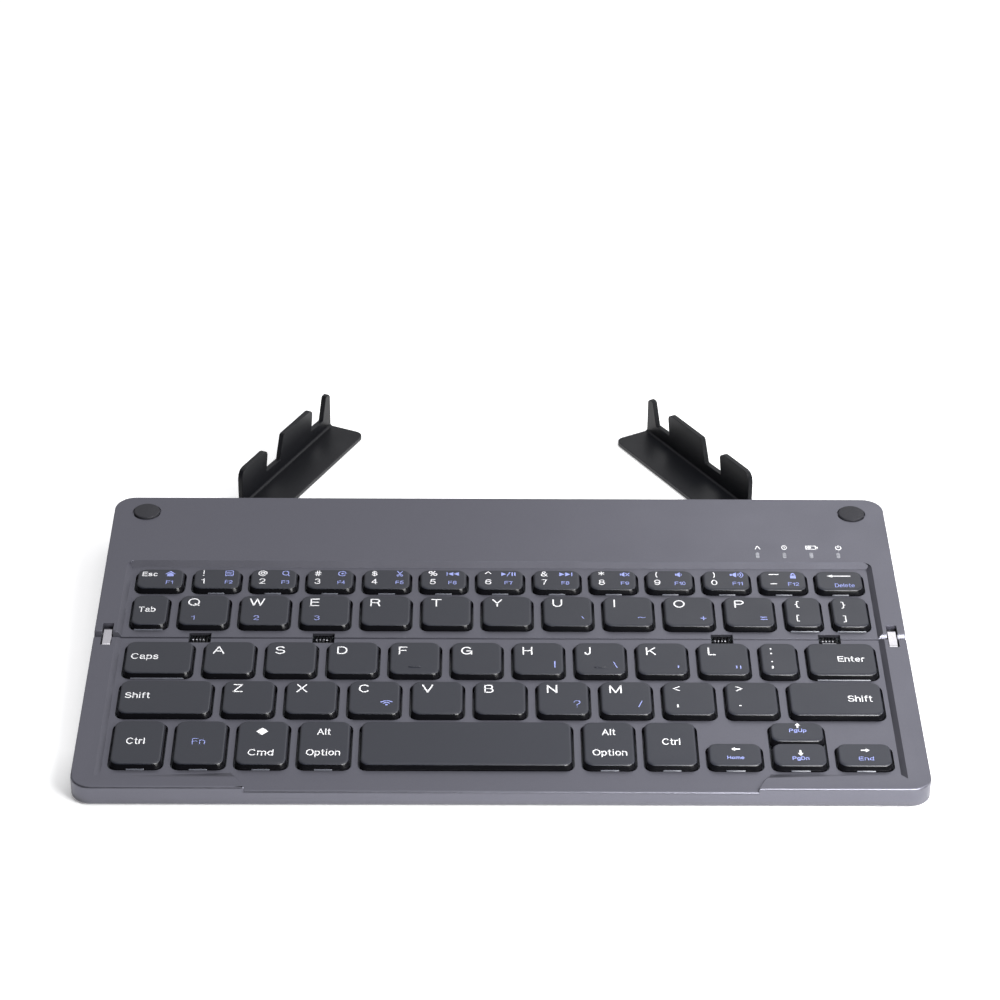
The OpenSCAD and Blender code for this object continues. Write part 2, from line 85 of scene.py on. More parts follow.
def material(name, color, rough, metal=0.0, grain=2500.0, grain_mix=0.12, bump=0.02, bump_scale=3500.0,
             rough_var=0.06, spec=0.5, coat=0.0, stretch=None, ior=1.46, alpha=1.0):
    """Principled surface with a fine grain in colour, roughness and height."""
    m = bpy.data.materials.new(name)
    m.use_nodes = True
    nt = m.node_tree
    n, l = nt.nodes, nt.links
    p = n["Principled BSDF"]
    tc = n.new("ShaderNodeTexCoord")
    src = tc.outputs["Object"]
    if stretch:
        mp = n.new("ShaderNodeMapping")
        mp.inputs["Scale"].default_value = stretch
        l.new(src, mp.inputs["Vector"])
        src = mp.outputs["Vector"]
    no = n.new("ShaderNodeTexNoise")
    no.inputs["Scale"].default_value = grain
    no.inputs["Detail"].default_value = 3
    l.new(src, no.inputs["Vector"])
    ramp = n.new("ShaderNodeMapRange")
    ramp.inputs["From Min"].default_value = 0.3
    ramp.inputs["From Max"].default_value = 0.7
    ramp.inputs["To Min"].default_value = 1 - grain_mix
    ramp.inputs["To Max"].default_value = 1 + grain_mix
    l.new(no.outputs["Fac"], ramp.inputs["Value"])
    mul = n.new("ShaderNodeVectorMath")
    mul.operation = "SCALE"
    mul.inputs[0].default_value = color[:3]
    l.new(ramp.outputs["Result"], mul.inputs["Scale"])
    l.new(mul.outputs["Vector"], p.inputs["Base Color"])
    big = n.new("ShaderNodeTexNoise")
    big.inputs["Scale"].default_value = 60
    big.inputs["Detail"].default_value = 2
    l.new(tc.outputs["Object"], big.inputs["Vector"])
    rr = n.new("ShaderNodeMapRange")
    rr.inputs["From Min"].default_value = 0.3
    rr.inputs["From Max"].default_value = 0.7
    rr.inputs["To Min"].default_value = max(0.02, rough - rough_var)
    rr.inputs["To Max"].default_value = min(1.0, rough + rough_var)
    l.new(big.outputs["Fac"], rr.inputs["Value"])
    l.new(rr.outputs["Result"], p.inputs["Roughness"])
    if bump:
        nb = n.new("ShaderNodeTexNoise")
        nb.inputs["Scale"].default_value = bump_scale
        nb.inputs["Detail"].default_value = 2
        l.new(src, nb.inputs["Vector"])
        bp = n.new("ShaderNodeBump")
        bp.inputs["Strength"].default_value = 1.0
        bp.inputs["Distance"].default_value = bump * 0.001
        l.new(nb.outputs["Fac"], bp.inputs["Height"])
        l.new(bp.outputs["Normal"], p.inputs["Normal"])
    p.inputs["Metallic"].default_value = metal
    p.inputs["Specular IOR Level"].default_value = spec
    p.inputs["IOR"].default_value = ior
    if coat:
        p.inputs["Coat Weight"].default_value = coat
        p.inputs["Coat Roughness"].default_value = 0.12
    if alpha < 1:
        p.inputs["Alpha"].default_value = alpha
    return m


M = {
    "case": material("case_metal", lin(106, 106, 115), 0.38, metal=0.85, grain=5200, grain_mix=0.07, bump=0.012, bump_scale=5200, rough_var=0.03),
    "cover": material("cover_plastic", lin(92, 92, 100), 0.50, grain=3000, grain_mix=0.10, bump=0.05, bump_scale=3000),
    "cap": material("cap_top", lin(23, 26, 37), 0.39, grain=4800, grain_mix=0.06, bump=0.010, bump_scale=4800, rough_var=0.03, spec=0.74),
    # cap sides: black plastic, made darker and less reflective than the cap tops as painted shade on the sides
    "cap_side_black_with_painted_shade": material("cap_side_black_with_painted_shade", lin(13, 13, 16), 0.20, grain=3000, grain_mix=0.05, bump=0.004, bump_scale=2400, spec=0.22),
    "white": material("ink_white", lin(238, 238, 240), 0.5, grain=3000, grain_mix=0.03, bump=0),
    "blue": material("ink_blue", lin(150, 160, 222), 0.5, grain=3000, grain_mix=0.03, bump=0),
    "arm": material("arm_plastic", lin(15, 16, 20), 0.40, grain=2600, grain_mix=0.08, bump=0.018, bump_scale=2600, spec=0.3),
    "rubber": material("foot_rubber", lin(40, 40, 43), 0.72, grain=1800, grain_mix=0.15, bump=0.06, bump_scale=2200, spec=0.3),
    "bumper": material("bumper_rubber", lin(44, 44, 49), 0.60, grain=1800, grain_mix=0.10, bump=0.03, bump_scale=2600, spec=0.4),
    "steel": material("link_steel", lin(205, 203, 208), 0.30, metal=1.0, grain=900, grain_mix=0.08, bump=0.006, bump_scale=1400, stretch=(6, 1, 6)),
    "pin": material("pin_steel", lin(190, 190, 194), 0.28, metal=1.0, grain=1200, grain_mix=0.08, bump=0.006, stretch=(1, 5, 5)),
    "screw": material("screw_steel", lin(120, 120, 124), 0.38, metal=1.0, grain=1500, grain_mix=0.12, bump=0.01),
    "sheet": material("inner_steel", lin(150, 150, 155), 0.45, metal=1.0, grain=900, grain_mix=0.12, bump=0.02, stretch=(1, 8, 1)),
    "film": material("membrane_film", lin(120, 126, 132), 0.30, grain=700, grain_mix=0.2, bump=0.01),
    "dome": material("dome_rubber", lin(200, 200, 196), 0.6, grain=900, grain_mix=0.06, bump=0.02),
    "scissor": material("scissor_plastic", lin(190, 190, 184), 0.5, grain=900, grain_mix=0.06, bump=0.02),
    "board": material("board", lin(24, 84, 56), 0.35, grain=600, grain_mix=0.3, bump=0.03, bump_scale=900),
    "foil": material("battery_foil", lin(170, 172, 178), 0.4, metal=0.8, grain=400, grain_mix=0.1, bump=0.05, bump_scale=700),
    "wire_red": material("wire_red", lin(160, 30, 26), 0.5, grain=1200, grain_mix=0.08, bump=0.02),
    "pipe": material("light_pipe", lin(140, 141, 148), 0.45, grain=1100, grain_mix=0.35, bump=0.03, bump_scale=1500, stretch=(1, 2.5, 1)),
    # light grey lip on the caps' front skirt: a painted highlight
    "lip": material("cap_lip_painted_highlight", lin(96, 98, 106), 0.30, grain=3000, grain_mix=0.05, bump=0.004),
    "knob": material("knob_plastic", lin(34, 34, 38), 0.5, grain=1800, grain_mix=0.1, bump=0.05, bump_scale=1800, stretch=(1, 4, 1)),
    "port": material("port_steel", lin(185, 185, 190), 0.3, metal=1.0, grain=900, grain_mix=0.1, bump=0.01),
    "magnet": material("magnet_nickel", lin(200, 200, 202), 0.2, metal=1.0, grain=900, grain_mix=0.05, bump=0.005),
    "cable": material("cable_black", lin(12, 12, 14), 0.42, grain=900, grain_mix=0.1, bump=0.01, spec=0.25),
}
# near-black painted shade for the top cases' faces below the deck: key-hole walls, window slots and the shells' insides
M["shade"] = material("case_painted_shade", lin(16, 16, 19), 0.6, grain=2000, grain_mix=0.1, bump=0.02, spec=0.2)
NODE_MAT = {
    "rear_key_plate": "sheet", "front_key_plate": "sheet", "rear_membrane": "film", "front_membrane": "film",
    "rear_domes": "dome", "front_domes": "dome", "rear_scissor_links": "scissor", "front_scissor_links": "scissor",
    "main_board": "board", "battery": "foil", "battery_leads": "wire_red", "led_light_pipes": "pipe",
    "power_switch_knob": "knob", "charge_port": "port", "corner_bumpers": "bumper", "rear_feet": "rubber",
    "front_feet": "rubber", "rear_screws": "screw", "front_screws": "screw", "rear_hinge_pins": "pin",
    "front_hinge_pins": "pin", "arm_pivot_screws": "screw", "closure_magnets_rear": "magnet",
    "closure_magnets_front": "magnet", "stand_arm_left": "arm", "stand_arm_right": "arm", "arm_pad_left": "rubber",
    "arm_pad_right": "rubber", "hinge_link_left": "steel", "hinge_link_right": "steel", "flex_cables": "cable",
    "rear_top_case": "case", "front_top_case": "case", "rear_bottom_cover": "cover", "front_bottom_cover": "cover",
}


def paint(o, m):
    o.data.materials.clear()
    o.data.materials.append(m)


for name, o in nodes.items():
    paint(o, M[NODE_MAT.get(name, "cap")])
    for p in o.data.polygons:
        p.material_index = 0


# ---------------------------------------------------------------- small geometry kit
class Geo:
    """Collects vertices (in millimetres) and faces with a material each."""

    def __init__(self):
        self.v, self.f, self.m = [], [], []

    def add(self, verts, faces, mat=0):
        k = len(self.v)
        self.v += [tuple(p) for p in verts]
        for f in faces:
            self.f.append([k + i for i in f])
            self.m.append(mat)

    def make(self, name, mats, xf=CASE, smooth=40.0):
        me = bpy.data.meshes.new(name)
        me.from_pydata([xf @ Vector(p) for p in self.v], [], self.f)
        for m in mats:
            me.materials.append(m)
        for p, i in zip(me.polygons, self.m):
            p.material_index = i
            p.use_smooth = True
        me.set_sharp_from_angle(angle=math.radians(smooth))
        me.update()
        o = bpy.data.objects.new(name, me)
        bpy.context.scene.collection.objects.link(o)
        return o


def ring(x0, x1, y0, y1, r, z, n=6):
    out = []
    for cx, cy, a0 in ((x1 - r, y1 - r, 0), (x0 + r, y1 - r, 90), (x0 + r, y0 + r, 180), (x1 - r, y0 + r, 270)):
        for i in range(n + 1):
            a = math.radians(a0 + 90 * i / n)
            out.append((cx + r * math.cos(a), cy + r * math.sin(a), z))
    return out


def loft(g, rings, mats, close_bottom=True, close_top=True):
    """Rings from the first (outward) to the last; mats has one index per gap."""
    n = len(rings[0])
    verts = [p for r in rings for p in r]
    for k in range(len(rings) - 1):
        faces = [[k * n + i, k * n + (i + 1) % n, (k + 1) * n + (i + 1) % n, (k + 1) * n + i] for i in range(n)]
        if k == 0:
            base = len(g.v)
            g.v += [tuple(p) for p in verts]
        for f in faces:
            g.f.append([base + i for i in f])
            g.m.append(mats[k])
    if close_bottom:
        g.f.append([base + i for i in reversed(range(n))])
        g.m.append(mats[0])
    if close_top:
        g.f.append([base + (len(rings) - 1) * n + i for i in range(n)])
        g.m.append(mats[-1])


# ---------------------------------------------------------------- printed marks
def flat(g, vs, fs, mat, z):
    """Flat faces that look up."""
    out = []
    for f in fs:
        a = 0
        for i in range(len(f)):
            p, q = vs[f[i]], vs[f[(i + 1) % len(f)]]
            a += p[0] * q[1] - q[0] * p[1]
        out.append(list(f) if a > 0 else list(reversed(f)))
    g.add([(x, y, z) for x, y in vs], out, mat)


def ell(cx, cy, rx, ry, a0, a1, n=0):
    n = n or max(4, int(abs(a1 - a0) / 18))
    return [(cx + rx * math.cos(math.radians(a0 + (a1 - a0) * i / n)), cy + ry * math.sin(math.radians(a0 + (a1 - a0) * i / n)))
            for i in range(n + 1)]


def mirrored(strokes):
    return [[(1 - x, y) for x, y in s] for s in strokes]


def bowl(x, r, cy, ry, left=0.0):
    """A bowl that starts and ends on the stem."""
    return [(left, cy + ry)] + ell(x, cy, r, ry, 90, -90) + [(left, cy - ry)]


S_LINE = ell(0.5, 0.745, 0.44, 0.255, 22, 245) + ell(0.5, 0.26, 0.5, 0.26, 68, -160)
BRACE = [(1, 1), (0.62, 0.97), (0.5, 0.88), (0.5, 0.62), (0.38, 0.53), (0, 0.5), (0.38, 0.47), (0.5, 0.38), (0.5, 0.12), (0.62, 0.03), (1, 0)]
# Plain sans-serif letters as centre lines in a unit box: (width over height, strokes)
XH = 0.73
GLYPH = {
    "A": (0.90, [[(0, 0), (0.5, 1), (1, 0)], [(0.2, 0.33), (0.8, 0.33)]]),
    "B": (0.76, [[(0, 0), (0, 1)], bowl(0.6, 0.33, 0.765, 0.235), bowl(0.62, 0.38, 0.265, 0.265)]),
    "C": (0.88, [ell(0.52, 0.5, 0.52, 0.5, 42, 318)]),
    "D": (0.82, [[(0, 0), (0, 1)], bowl(0.46, 0.54, 0.5, 0.5)]),
    "E": (0.72, [[(1, 1), (0, 1), (0, 0), (1, 0)], [(0, 0.53), (0.93, 0.53)]]),
    "F": (0.66, [[(1, 1), (0, 1), (0, 0)], [(0, 0.51), (0.88, 0.51)]]),
    "G": (0.90, [ell(0.5, 0.5, 0.5, 0.5, 42, 325), [(0.56, 0.46), (1, 0.46), (1, 0.0)]]),
    "H": (0.78, [[(0, 0), (0, 1)], [(1, 0), (1, 1)], [(0, 0.53), (1, 0.53)]]),
    "I": (0.12, [[(0.5, 0), (0.5, 1)]]),
    "J": (0.60, [[(1, 1)] + ell(0.5, 0.3, 0.5, 0.3, 0, -175)]),
    "K": (0.80, [[(0, 0), (0, 1)], [(0.95, 1), (0.02, 0.34)], [(0.36, 0.6), (1, 0)]]),
    "L": (0.64, [[(0, 1), (0, 0), (1, 0)]]),
    "M": (0.94, [[(0, 0), (0, 1)], [(0, 1), (0.5, 0)], [(0.5, 0), (1, 1)], [(1, 1), (1, 0)]]),
    "N": (0.78, [[(0, 0), (0, 1)], [(0, 1), (1, 0)], [(1, 0), (1, 1)]]),
    "O": (0.95, [ell(0.5, 0.5, 0.5, 0.5, 0, 360)]),
    "P": (0.74, [[(0, 0), (0, 1)], bowl(0.6, 0.4, 0.735, 0.265)]),
    "Q": (0.95, [ell(0.5, 0.5, 0.5, 0.5, 0, 360), [(0.62, 0.26), (0.99, -0.02)]]),
    "R": (0.80, [[(0, 0), (0, 1)], bowl(0.6, 0.36, 0.745, 0.255), [(0.58, 0.47), (0.84, 0.4), (0.92, 0.12), (1, 0)]]),
    "S": (0.78, [S_LINE]),
    "T": (0.80, [[(0, 1), (1, 1)], [(0.5, 1), (0.5, 0)]]),
    "U": (0.78, [[(0, 1)] + ell(0.5, 0.36, 0.5, 0.36, 180, 360) + [(1, 1)]]),
    "V": (0.86, [[(0, 1), (0.5, 0)], [(0.5, 0), (1, 1)]]),
    "W": (1.26, [[(0, 1), (0.255, 0)], [(0.255, 0), (0.5, 1)], [(0.5, 1), (0.745, 0)], [(0.745, 0), (1, 1)]]),
    "X": (0.84, [[(0, 0), (0.97, 1)], [(0.03, 1), (1, 0)]]),
    "Y": (0.86, [[(0, 1), (0.5, 0.44)], [(1, 1), (0.5, 0.44)], [(0.5, 0.44), (0.5, 0)]]),
    "Z": (0.78, [[(0.04, 1), (0.97, 1)], [(0.97, 1), (0, 0)], [(0, 0), (1, 0)]]),
    "0": (0.64, [ell(0.5, 0.5, 0.5, 0.5, 0, 360)]),
    "1": (0.34, [[(1, 0), (1, 1)], [(1, 1), (0.82, 0.82), (0, 0.74)]]),
    "2": (0.64, [ell(0.5, 0.69, 0.49, 0.31, 168, -32) + [(0.02, 0.0), (1, 0)]]),
    "3": (0.64, [ell(0.48, 0.765, 0.44, 0.235, 160, -90), ell(0.48, 0.265, 0.52, 0.265, 90, -160)]),
    "4": (0.68, [[(0.74, 0), (0.74, 1), (0, 0.28), (1, 0.28)]]),
    "5": (0.64, [[(0.92, 1), (0.2, 1), (0.08, 0.5)] + ell(0.48, 0.32, 0.52, 0.32, 125, -155)]),
    "6": (0.64, [ell(0.5, 0.31, 0.5, 0.31, 0, 360), [(0.0, 0.31)] + ell(0.54, 0.5, 0.54, 0.5, 180, 40)]),
    "7": (0.64, [[(0, 1), (1, 1), (0.6, 0.5), (0.38, 0)]]),
    "8": (0.64, [ell(0.5, 0.76, 0.43, 0.24, 0, 360), ell(0.5, 0.26, 0.5, 0.26, 0, 360)]),
    "9": (0.64, [ell(0.5, 0.69, 0.5, 0.31, 0, 360), [(1.0, 0.69)] + ell(0.46, 0.5, 0.54, 0.5, 0, -140)]),
    "!": (0.14, [[(0.5, 1), (0.5, 0.34)], [(0.5, 0.0), (0.5, 0.01)]]),
    "@": (1.0, [ell(0.5, 0.5, 0.5, 0.5, -60, -350, 18), ell(0.48, 0.5, 0.2, 0.22, 0, 360), [(0.7, 0.74), (0.68, 0.34), (0.84, 0.3), (1.0, 0.55)]]),
    "#": (0.74, [[(0.24, 0), (0.38, 1)], [(0.62, 0), (0.76, 1)], [(0, 0.33), (0.94, 0.33)], [(0.06, 0.67), (1, 0.67)]]),
    "$": (0.66, [[(x, 0.1 + 0.8 * y) for x, y in S_LINE], [(0.5, 0), (0.5, 1)]]),
    "%": (1.05, [ell(0.2, 0.76, 0.2, 0.24, 0, 360), ell(0.8, 0.24, 0.2, 0.24, 0, 360), [(0.26, 0), (0.74, 1)]]),
    "^": (0.7, [[(0, 0), (0.5, 1)], [(0.5, 1), (1, 0)]]),
    "&": (0.8, [[(1, 0), (0.24, 0.68)] + ell(0.44, 0.8, 0.23, 0.2, 200, -25) + [(0.1, 0.42)] + ell(0.38, 0.25, 0.38, 0.25, 150, 320) + [(0.95, 0.48)]]),
    "*": (1.0, [[(0.5, 0), (0.5, 1)], [(0.05, 0.25), (0.95, 0.75)], [(0.05, 0.75), (0.95, 0.25)]]),
    "(": (0.3, [ell(1.0, 0.5, 1.0, 0.5, 115, 245)]),
    ")": (0.3, [ell(0.0, 0.5, 1.0, 0.5, 65, -65)]),
    "{": (0.4, [BRACE]), "}": (0.4, mirrored([BRACE])),
    "[": (0.3, [[(1, 1), (0, 1), (0, 0), (1, 0)]]), "]": (0.3, [[(0, 1), (1, 1), (1, 0), (0, 0)]]),
    "\\": (0.3, [[(0, 1), (1, 0)]]), "/": (0.3, [[(0, 0), (1, 1)]]), "`": (0.4, [[(0, 1), (1, 0)]]),
    "~": (0.9, [[(0, 0.1), (0.1, 0.7), (0.3, 0.95), (0.5, 0.5), (0.7, 0.05), (0.9, 0.3), (1, 0.9)]]),
    "'": (0.2, [[(0.5, 0), (0.5, 1)]]), "\"": (0.5, [[(0, 0), (0, 1)], [(1, 0), (1, 1)]]),
    ":": (0.2, [[(0.5, 0), (0.5, 0.06)], [(0.5, 0.94), (0.5, 1)]]),
    ";": (0.2, [[(0.2, 0), (0.6, 0.1), (0.6, 0.24)], [(0.6, 0.98), (0.6, 1)]]),
    "<": (0.8, [[(1, 1), (0, 0.5)], [(0, 0.5), (1, 0)]]), ">": (0.8, [[(0, 1), (1, 0.5)], [(1, 0.5), (0, 0)]]),
    ",": (0.3, [[(0.1, 0), (0.6, 0.5), (0.6, 1)]]), ".": (0.3, [[(0.3, 0.5), (0.7, 0.5)]]),
    "?": (0.6, [ell(0.5, 0.735, 0.5, 0.265, 175, -50) + [(0.5, 0.42), (0.5, 0.28)], [(0.5, 0.0), (0.5, 0.01)]]),
    # small letters
    "a": (0.62, [ell(0.46, 0.535, 0.4, 0.195, 165, 0, 7) + [(0.86, 0.12), (1, 0.0)], [(0.86, 0.42), (0.4, 0.37)] + ell(0.36, 0.19, 0.36, 0.19, 100, 270, 7) + [(0.7, 0.06), (0.86, 0.24)]]),
    "b": (0.62, [[(0, 0), (0, 1)], ell(0.5, XH / 2, 0.5, XH / 2, 0, 360)]),
    "c": (0.60, [ell(0.53, XH / 2, 0.53, XH / 2, 42, 318)]),
    "d": (0.62, [[(1, 0), (1, 1)], ell(0.5, XH / 2, 0.5, XH / 2, 0, 360)]),
    "e": (0.64, [[(0.02, XH / 2), (1.0, XH / 2)] + ell(0.5, XH / 2, 0.5, XH / 2, 8, 318)]),
    "f": (0.36, [[(0.4, 0), (0.4, 0.78)] + ell(0.78, 0.8, 0.38, 0.2, 170, 90, 4) + [(1, 1)], [(0, XH), (0.95, XH)]]),
    "g": (0.62, [ell(0.5, XH / 2, 0.5, XH / 2, 0, 360), [(1, XH), (1, 0.0)] + ell(0.5, -0.06, 0.5, 0.22, 0, -160)]),
    "h": (0.58, [[(0, 0), (0, 1)], [(0, 0.42)] + ell(0.5, 0.46, 0.5, XH - 0.46, 170, 0) + [(1, 0)]]),
    "i": (0.1, [[(0.5, 0), (0.5, XH)], [(0.5, 0.98), (0.5, 1)]]),
    "l": (0.1, [[(0.5, 0), (0.5, 1)]]),
    "m": (1.0, [[(0, 0), (0, XH)], [(0, 0.44)] + ell(0.25, 0.48, 0.25, XH - 0.48, 170, 0) + [(0.5, 0)], [(0.5, 0.44)] + ell(0.75, 0.48, 0.25, XH - 0.48, 170, 0) + [(1, 0)]]),
    "n": (0.58, [[(0, 0), (0, XH)], [(0, 0.42)] + ell(0.5, 0.46, 0.5, XH - 0.46, 170, 0) + [(1, 0)]]),
    "o": (0.66, [ell(0.5, XH / 2, 0.5, XH / 2, 0, 360)]),
    "p": (0.62, [[(0, -0.28), (0, XH)], ell(0.5, XH / 2, 0.5, XH / 2, 0, 360)]),
    "r": (0.34, [[(0, 0), (0, XH)], [(0, 0.42), (0.2, 0.62), (0.6, XH), (1, XH)]]),
    "s": (0.56, [[(x, y * XH) for x, y in S_LINE]]),
    "t": (0.36, [[(0.4, 0.95), (0.4, 0.16)] + ell(0.78, 0.16, 0.38, 0.16, 190, 270, 4) + [(1, 0)], [(0, XH), (0.95, XH)]]),
}


def strip(g, pts, w, mat, z):
    """A line of constant width through the points, square at its ends; sharp corners overlap."""
    clean = [pts[0]]
    for p in pts[1:]:
        if math.hypot(p[0] - clean[-1][0], p[1] - clean[-1][1]) > 1e-5:
            clean.append(p)
    if len(clean) < 2:
        x, y = clean[0]
        h = w / 2
        flat(g, [(x - h, y - h), (x + h, y - h), (x + h, y + h), (x - h, y + h)], [[0, 1, 2, 3]], mat, z)
        return
    closed = math.hypot(pts[0][0] - pts[-1][0], pts[0][1] - pts[-1][1]) < 1e-5 and len(clean) > 3
    if closed:
        clean = clean[:-1] if math.hypot(clean[0][0] - clean[-1][0], clean[0][1] - clean[-1][1]) < 1e-5 else clean
    n = len(clean)
    d = []
    for i in range(n if closed else n - 1):
        a, b = clean[i], clean[(i + 1) % n]
        k = math.hypot(b[0] - a[0], b[1] - a[1])
        d.append(((b[0] - a[0]) / k, (b[1] - a[1]) / k))
    if not closed:
        for i in range(1, n - 1):
            if d[i - 1][0] * d[i][0] + d[i - 1][1] * d[i][1] < 0.25:  # a sharp corner: two lines
                strip(g, clean[:i + 1], w, mat, z)
                strip(g, clean[i:], w, mat, z)
                return
        h = w / 2
        clean[0] = (clean[0][0] - d[0][0] * h, clean[0][1] - d[0][1] * h)
        clean[-1] = (clean[-1][0] + d[-1][0] * h, clean[-1][1] + d[-1][1] * h)
    left, right = [], []
    for i in range(n):
        if closed:
            d1, d2 = d[i - 1], d[i]
        else:
            d1, d2 = d[max(0, i - 1)], d[min(n - 2, i)]
        mx, my = -(d1[1] + d2[1]), d1[0] + d2[0]
        k = math.hypot(mx, my) or 1
        mx, my = mx / k, my / k
        c = max(0.7, mx * -d1[1] + my * d1[0])
        left.append((clean[i][0] + mx * w / 2 / c, clean[i][1] + my * w / 2 / c))
        right.append((clean[i][0] - mx * w / 2 / c, clean[i][1] - my * w / 2 / c))
    m = n if closed else n - 1
    flat(g, left + right, [[i, (i + 1) % n, n + (i + 1) % n, n + i] for i in range(m)], mat, z)


def text(g, s, x0, x1, y0, y1, mat, z=TOP + INK, w=0.4):
    """Draws s so that its ink fills the box; heights count from the baseline, below it for p and g."""
    low = -0.28 if any(c in "gp" for c in s) else 0.0
    one = len(s) == 1
    h = (y1 - y0 - w) / (1 - low)
    gap = 0.17 * h + w
    widths = [max(GLYPH[c][0] * h, 0.001) for c in s]
    total = sum(widths) + gap * (len(s) - 1)
    room = x1 - x0 - w
    k = room / total if total > 0 else 1
    x = x0 + w / 2
    base = y0 + w / 2 - low * h
    for c, cw in zip(s, widths):
        cw *= k
        for line in GLYPH[c][1]:
            strip(g, [(x + px * cw, base + py * h) for px, py in line], w, mat, z)
        x += cw + gap * k


class Sketch:
    """2-D shapes in a unit box, later fitted to a place on a cap."""

    def __init__(self):
        self.v, self.f = [], []

    def poly(self, pts):
        k = len(self.v)
        self.v += pts
        self.f.append(list(range(k, k + len(pts))))
        return self

    def line(self, pts, w):
        for (ax, ay), (bx, by) in zip(pts, pts[1:]):
            d = math.hypot(bx - ax, by - ay) or 1
            nx, ny = -(by - ay) / d * w / 2, (bx - ax) / d * w / 2
            self.poly([(ax + nx, ay + ny), (ax - nx, ay - ny), (bx - nx, by - ny), (bx + nx, by + ny)])
        return self

    def arc(self, cx, cy, rx, ry, a0, a1, w, n=14):
        for i in range(n):
            a, b = (math.radians(a0 + (a1 - a0) * t / n) for t in (i, i + 1))
            self.poly([(cx + (rx - w / 2) * math.cos(t), cy + (ry - w / 2) * math.sin(t)) for t in (a, b)]
                      + [(cx + (rx + w / 2) * math.cos(t), cy + (ry + w / 2) * math.sin(t)) for t in (b, a)])
        return self

    def disc(self, cx, cy, rx, ry, n=20):
        return self.poly([(cx + rx * math.cos(2 * math.pi * i / n), cy + ry * math.sin(2 * math.pi * i / n)) for i in range(n)])

    def put(self, g, x0, x1, y0, y1, mat, z=TOP + INK):
        flat(g, [(x0 + v[0] * (x1 - x0), y0 + v[1] * (y1 - y0)) for v in self.v], self.f, mat, z)


def speaker(waves):
    s = Sketch().poly([(0.0, 0.32), (0.16, 0.32), (0.16, 0.68), (0.0, 0.68)]).poly([(0.2, 0.32), (0.46, 0.04), (0.46, 0.96), (0.2, 0.68)])
    for i in range(waves):
        s.arc(0.44, 0.5, 0.18 + 0.17 * i, 0.26 + 0.2 * i, -52, 52, 0.07)
    return s


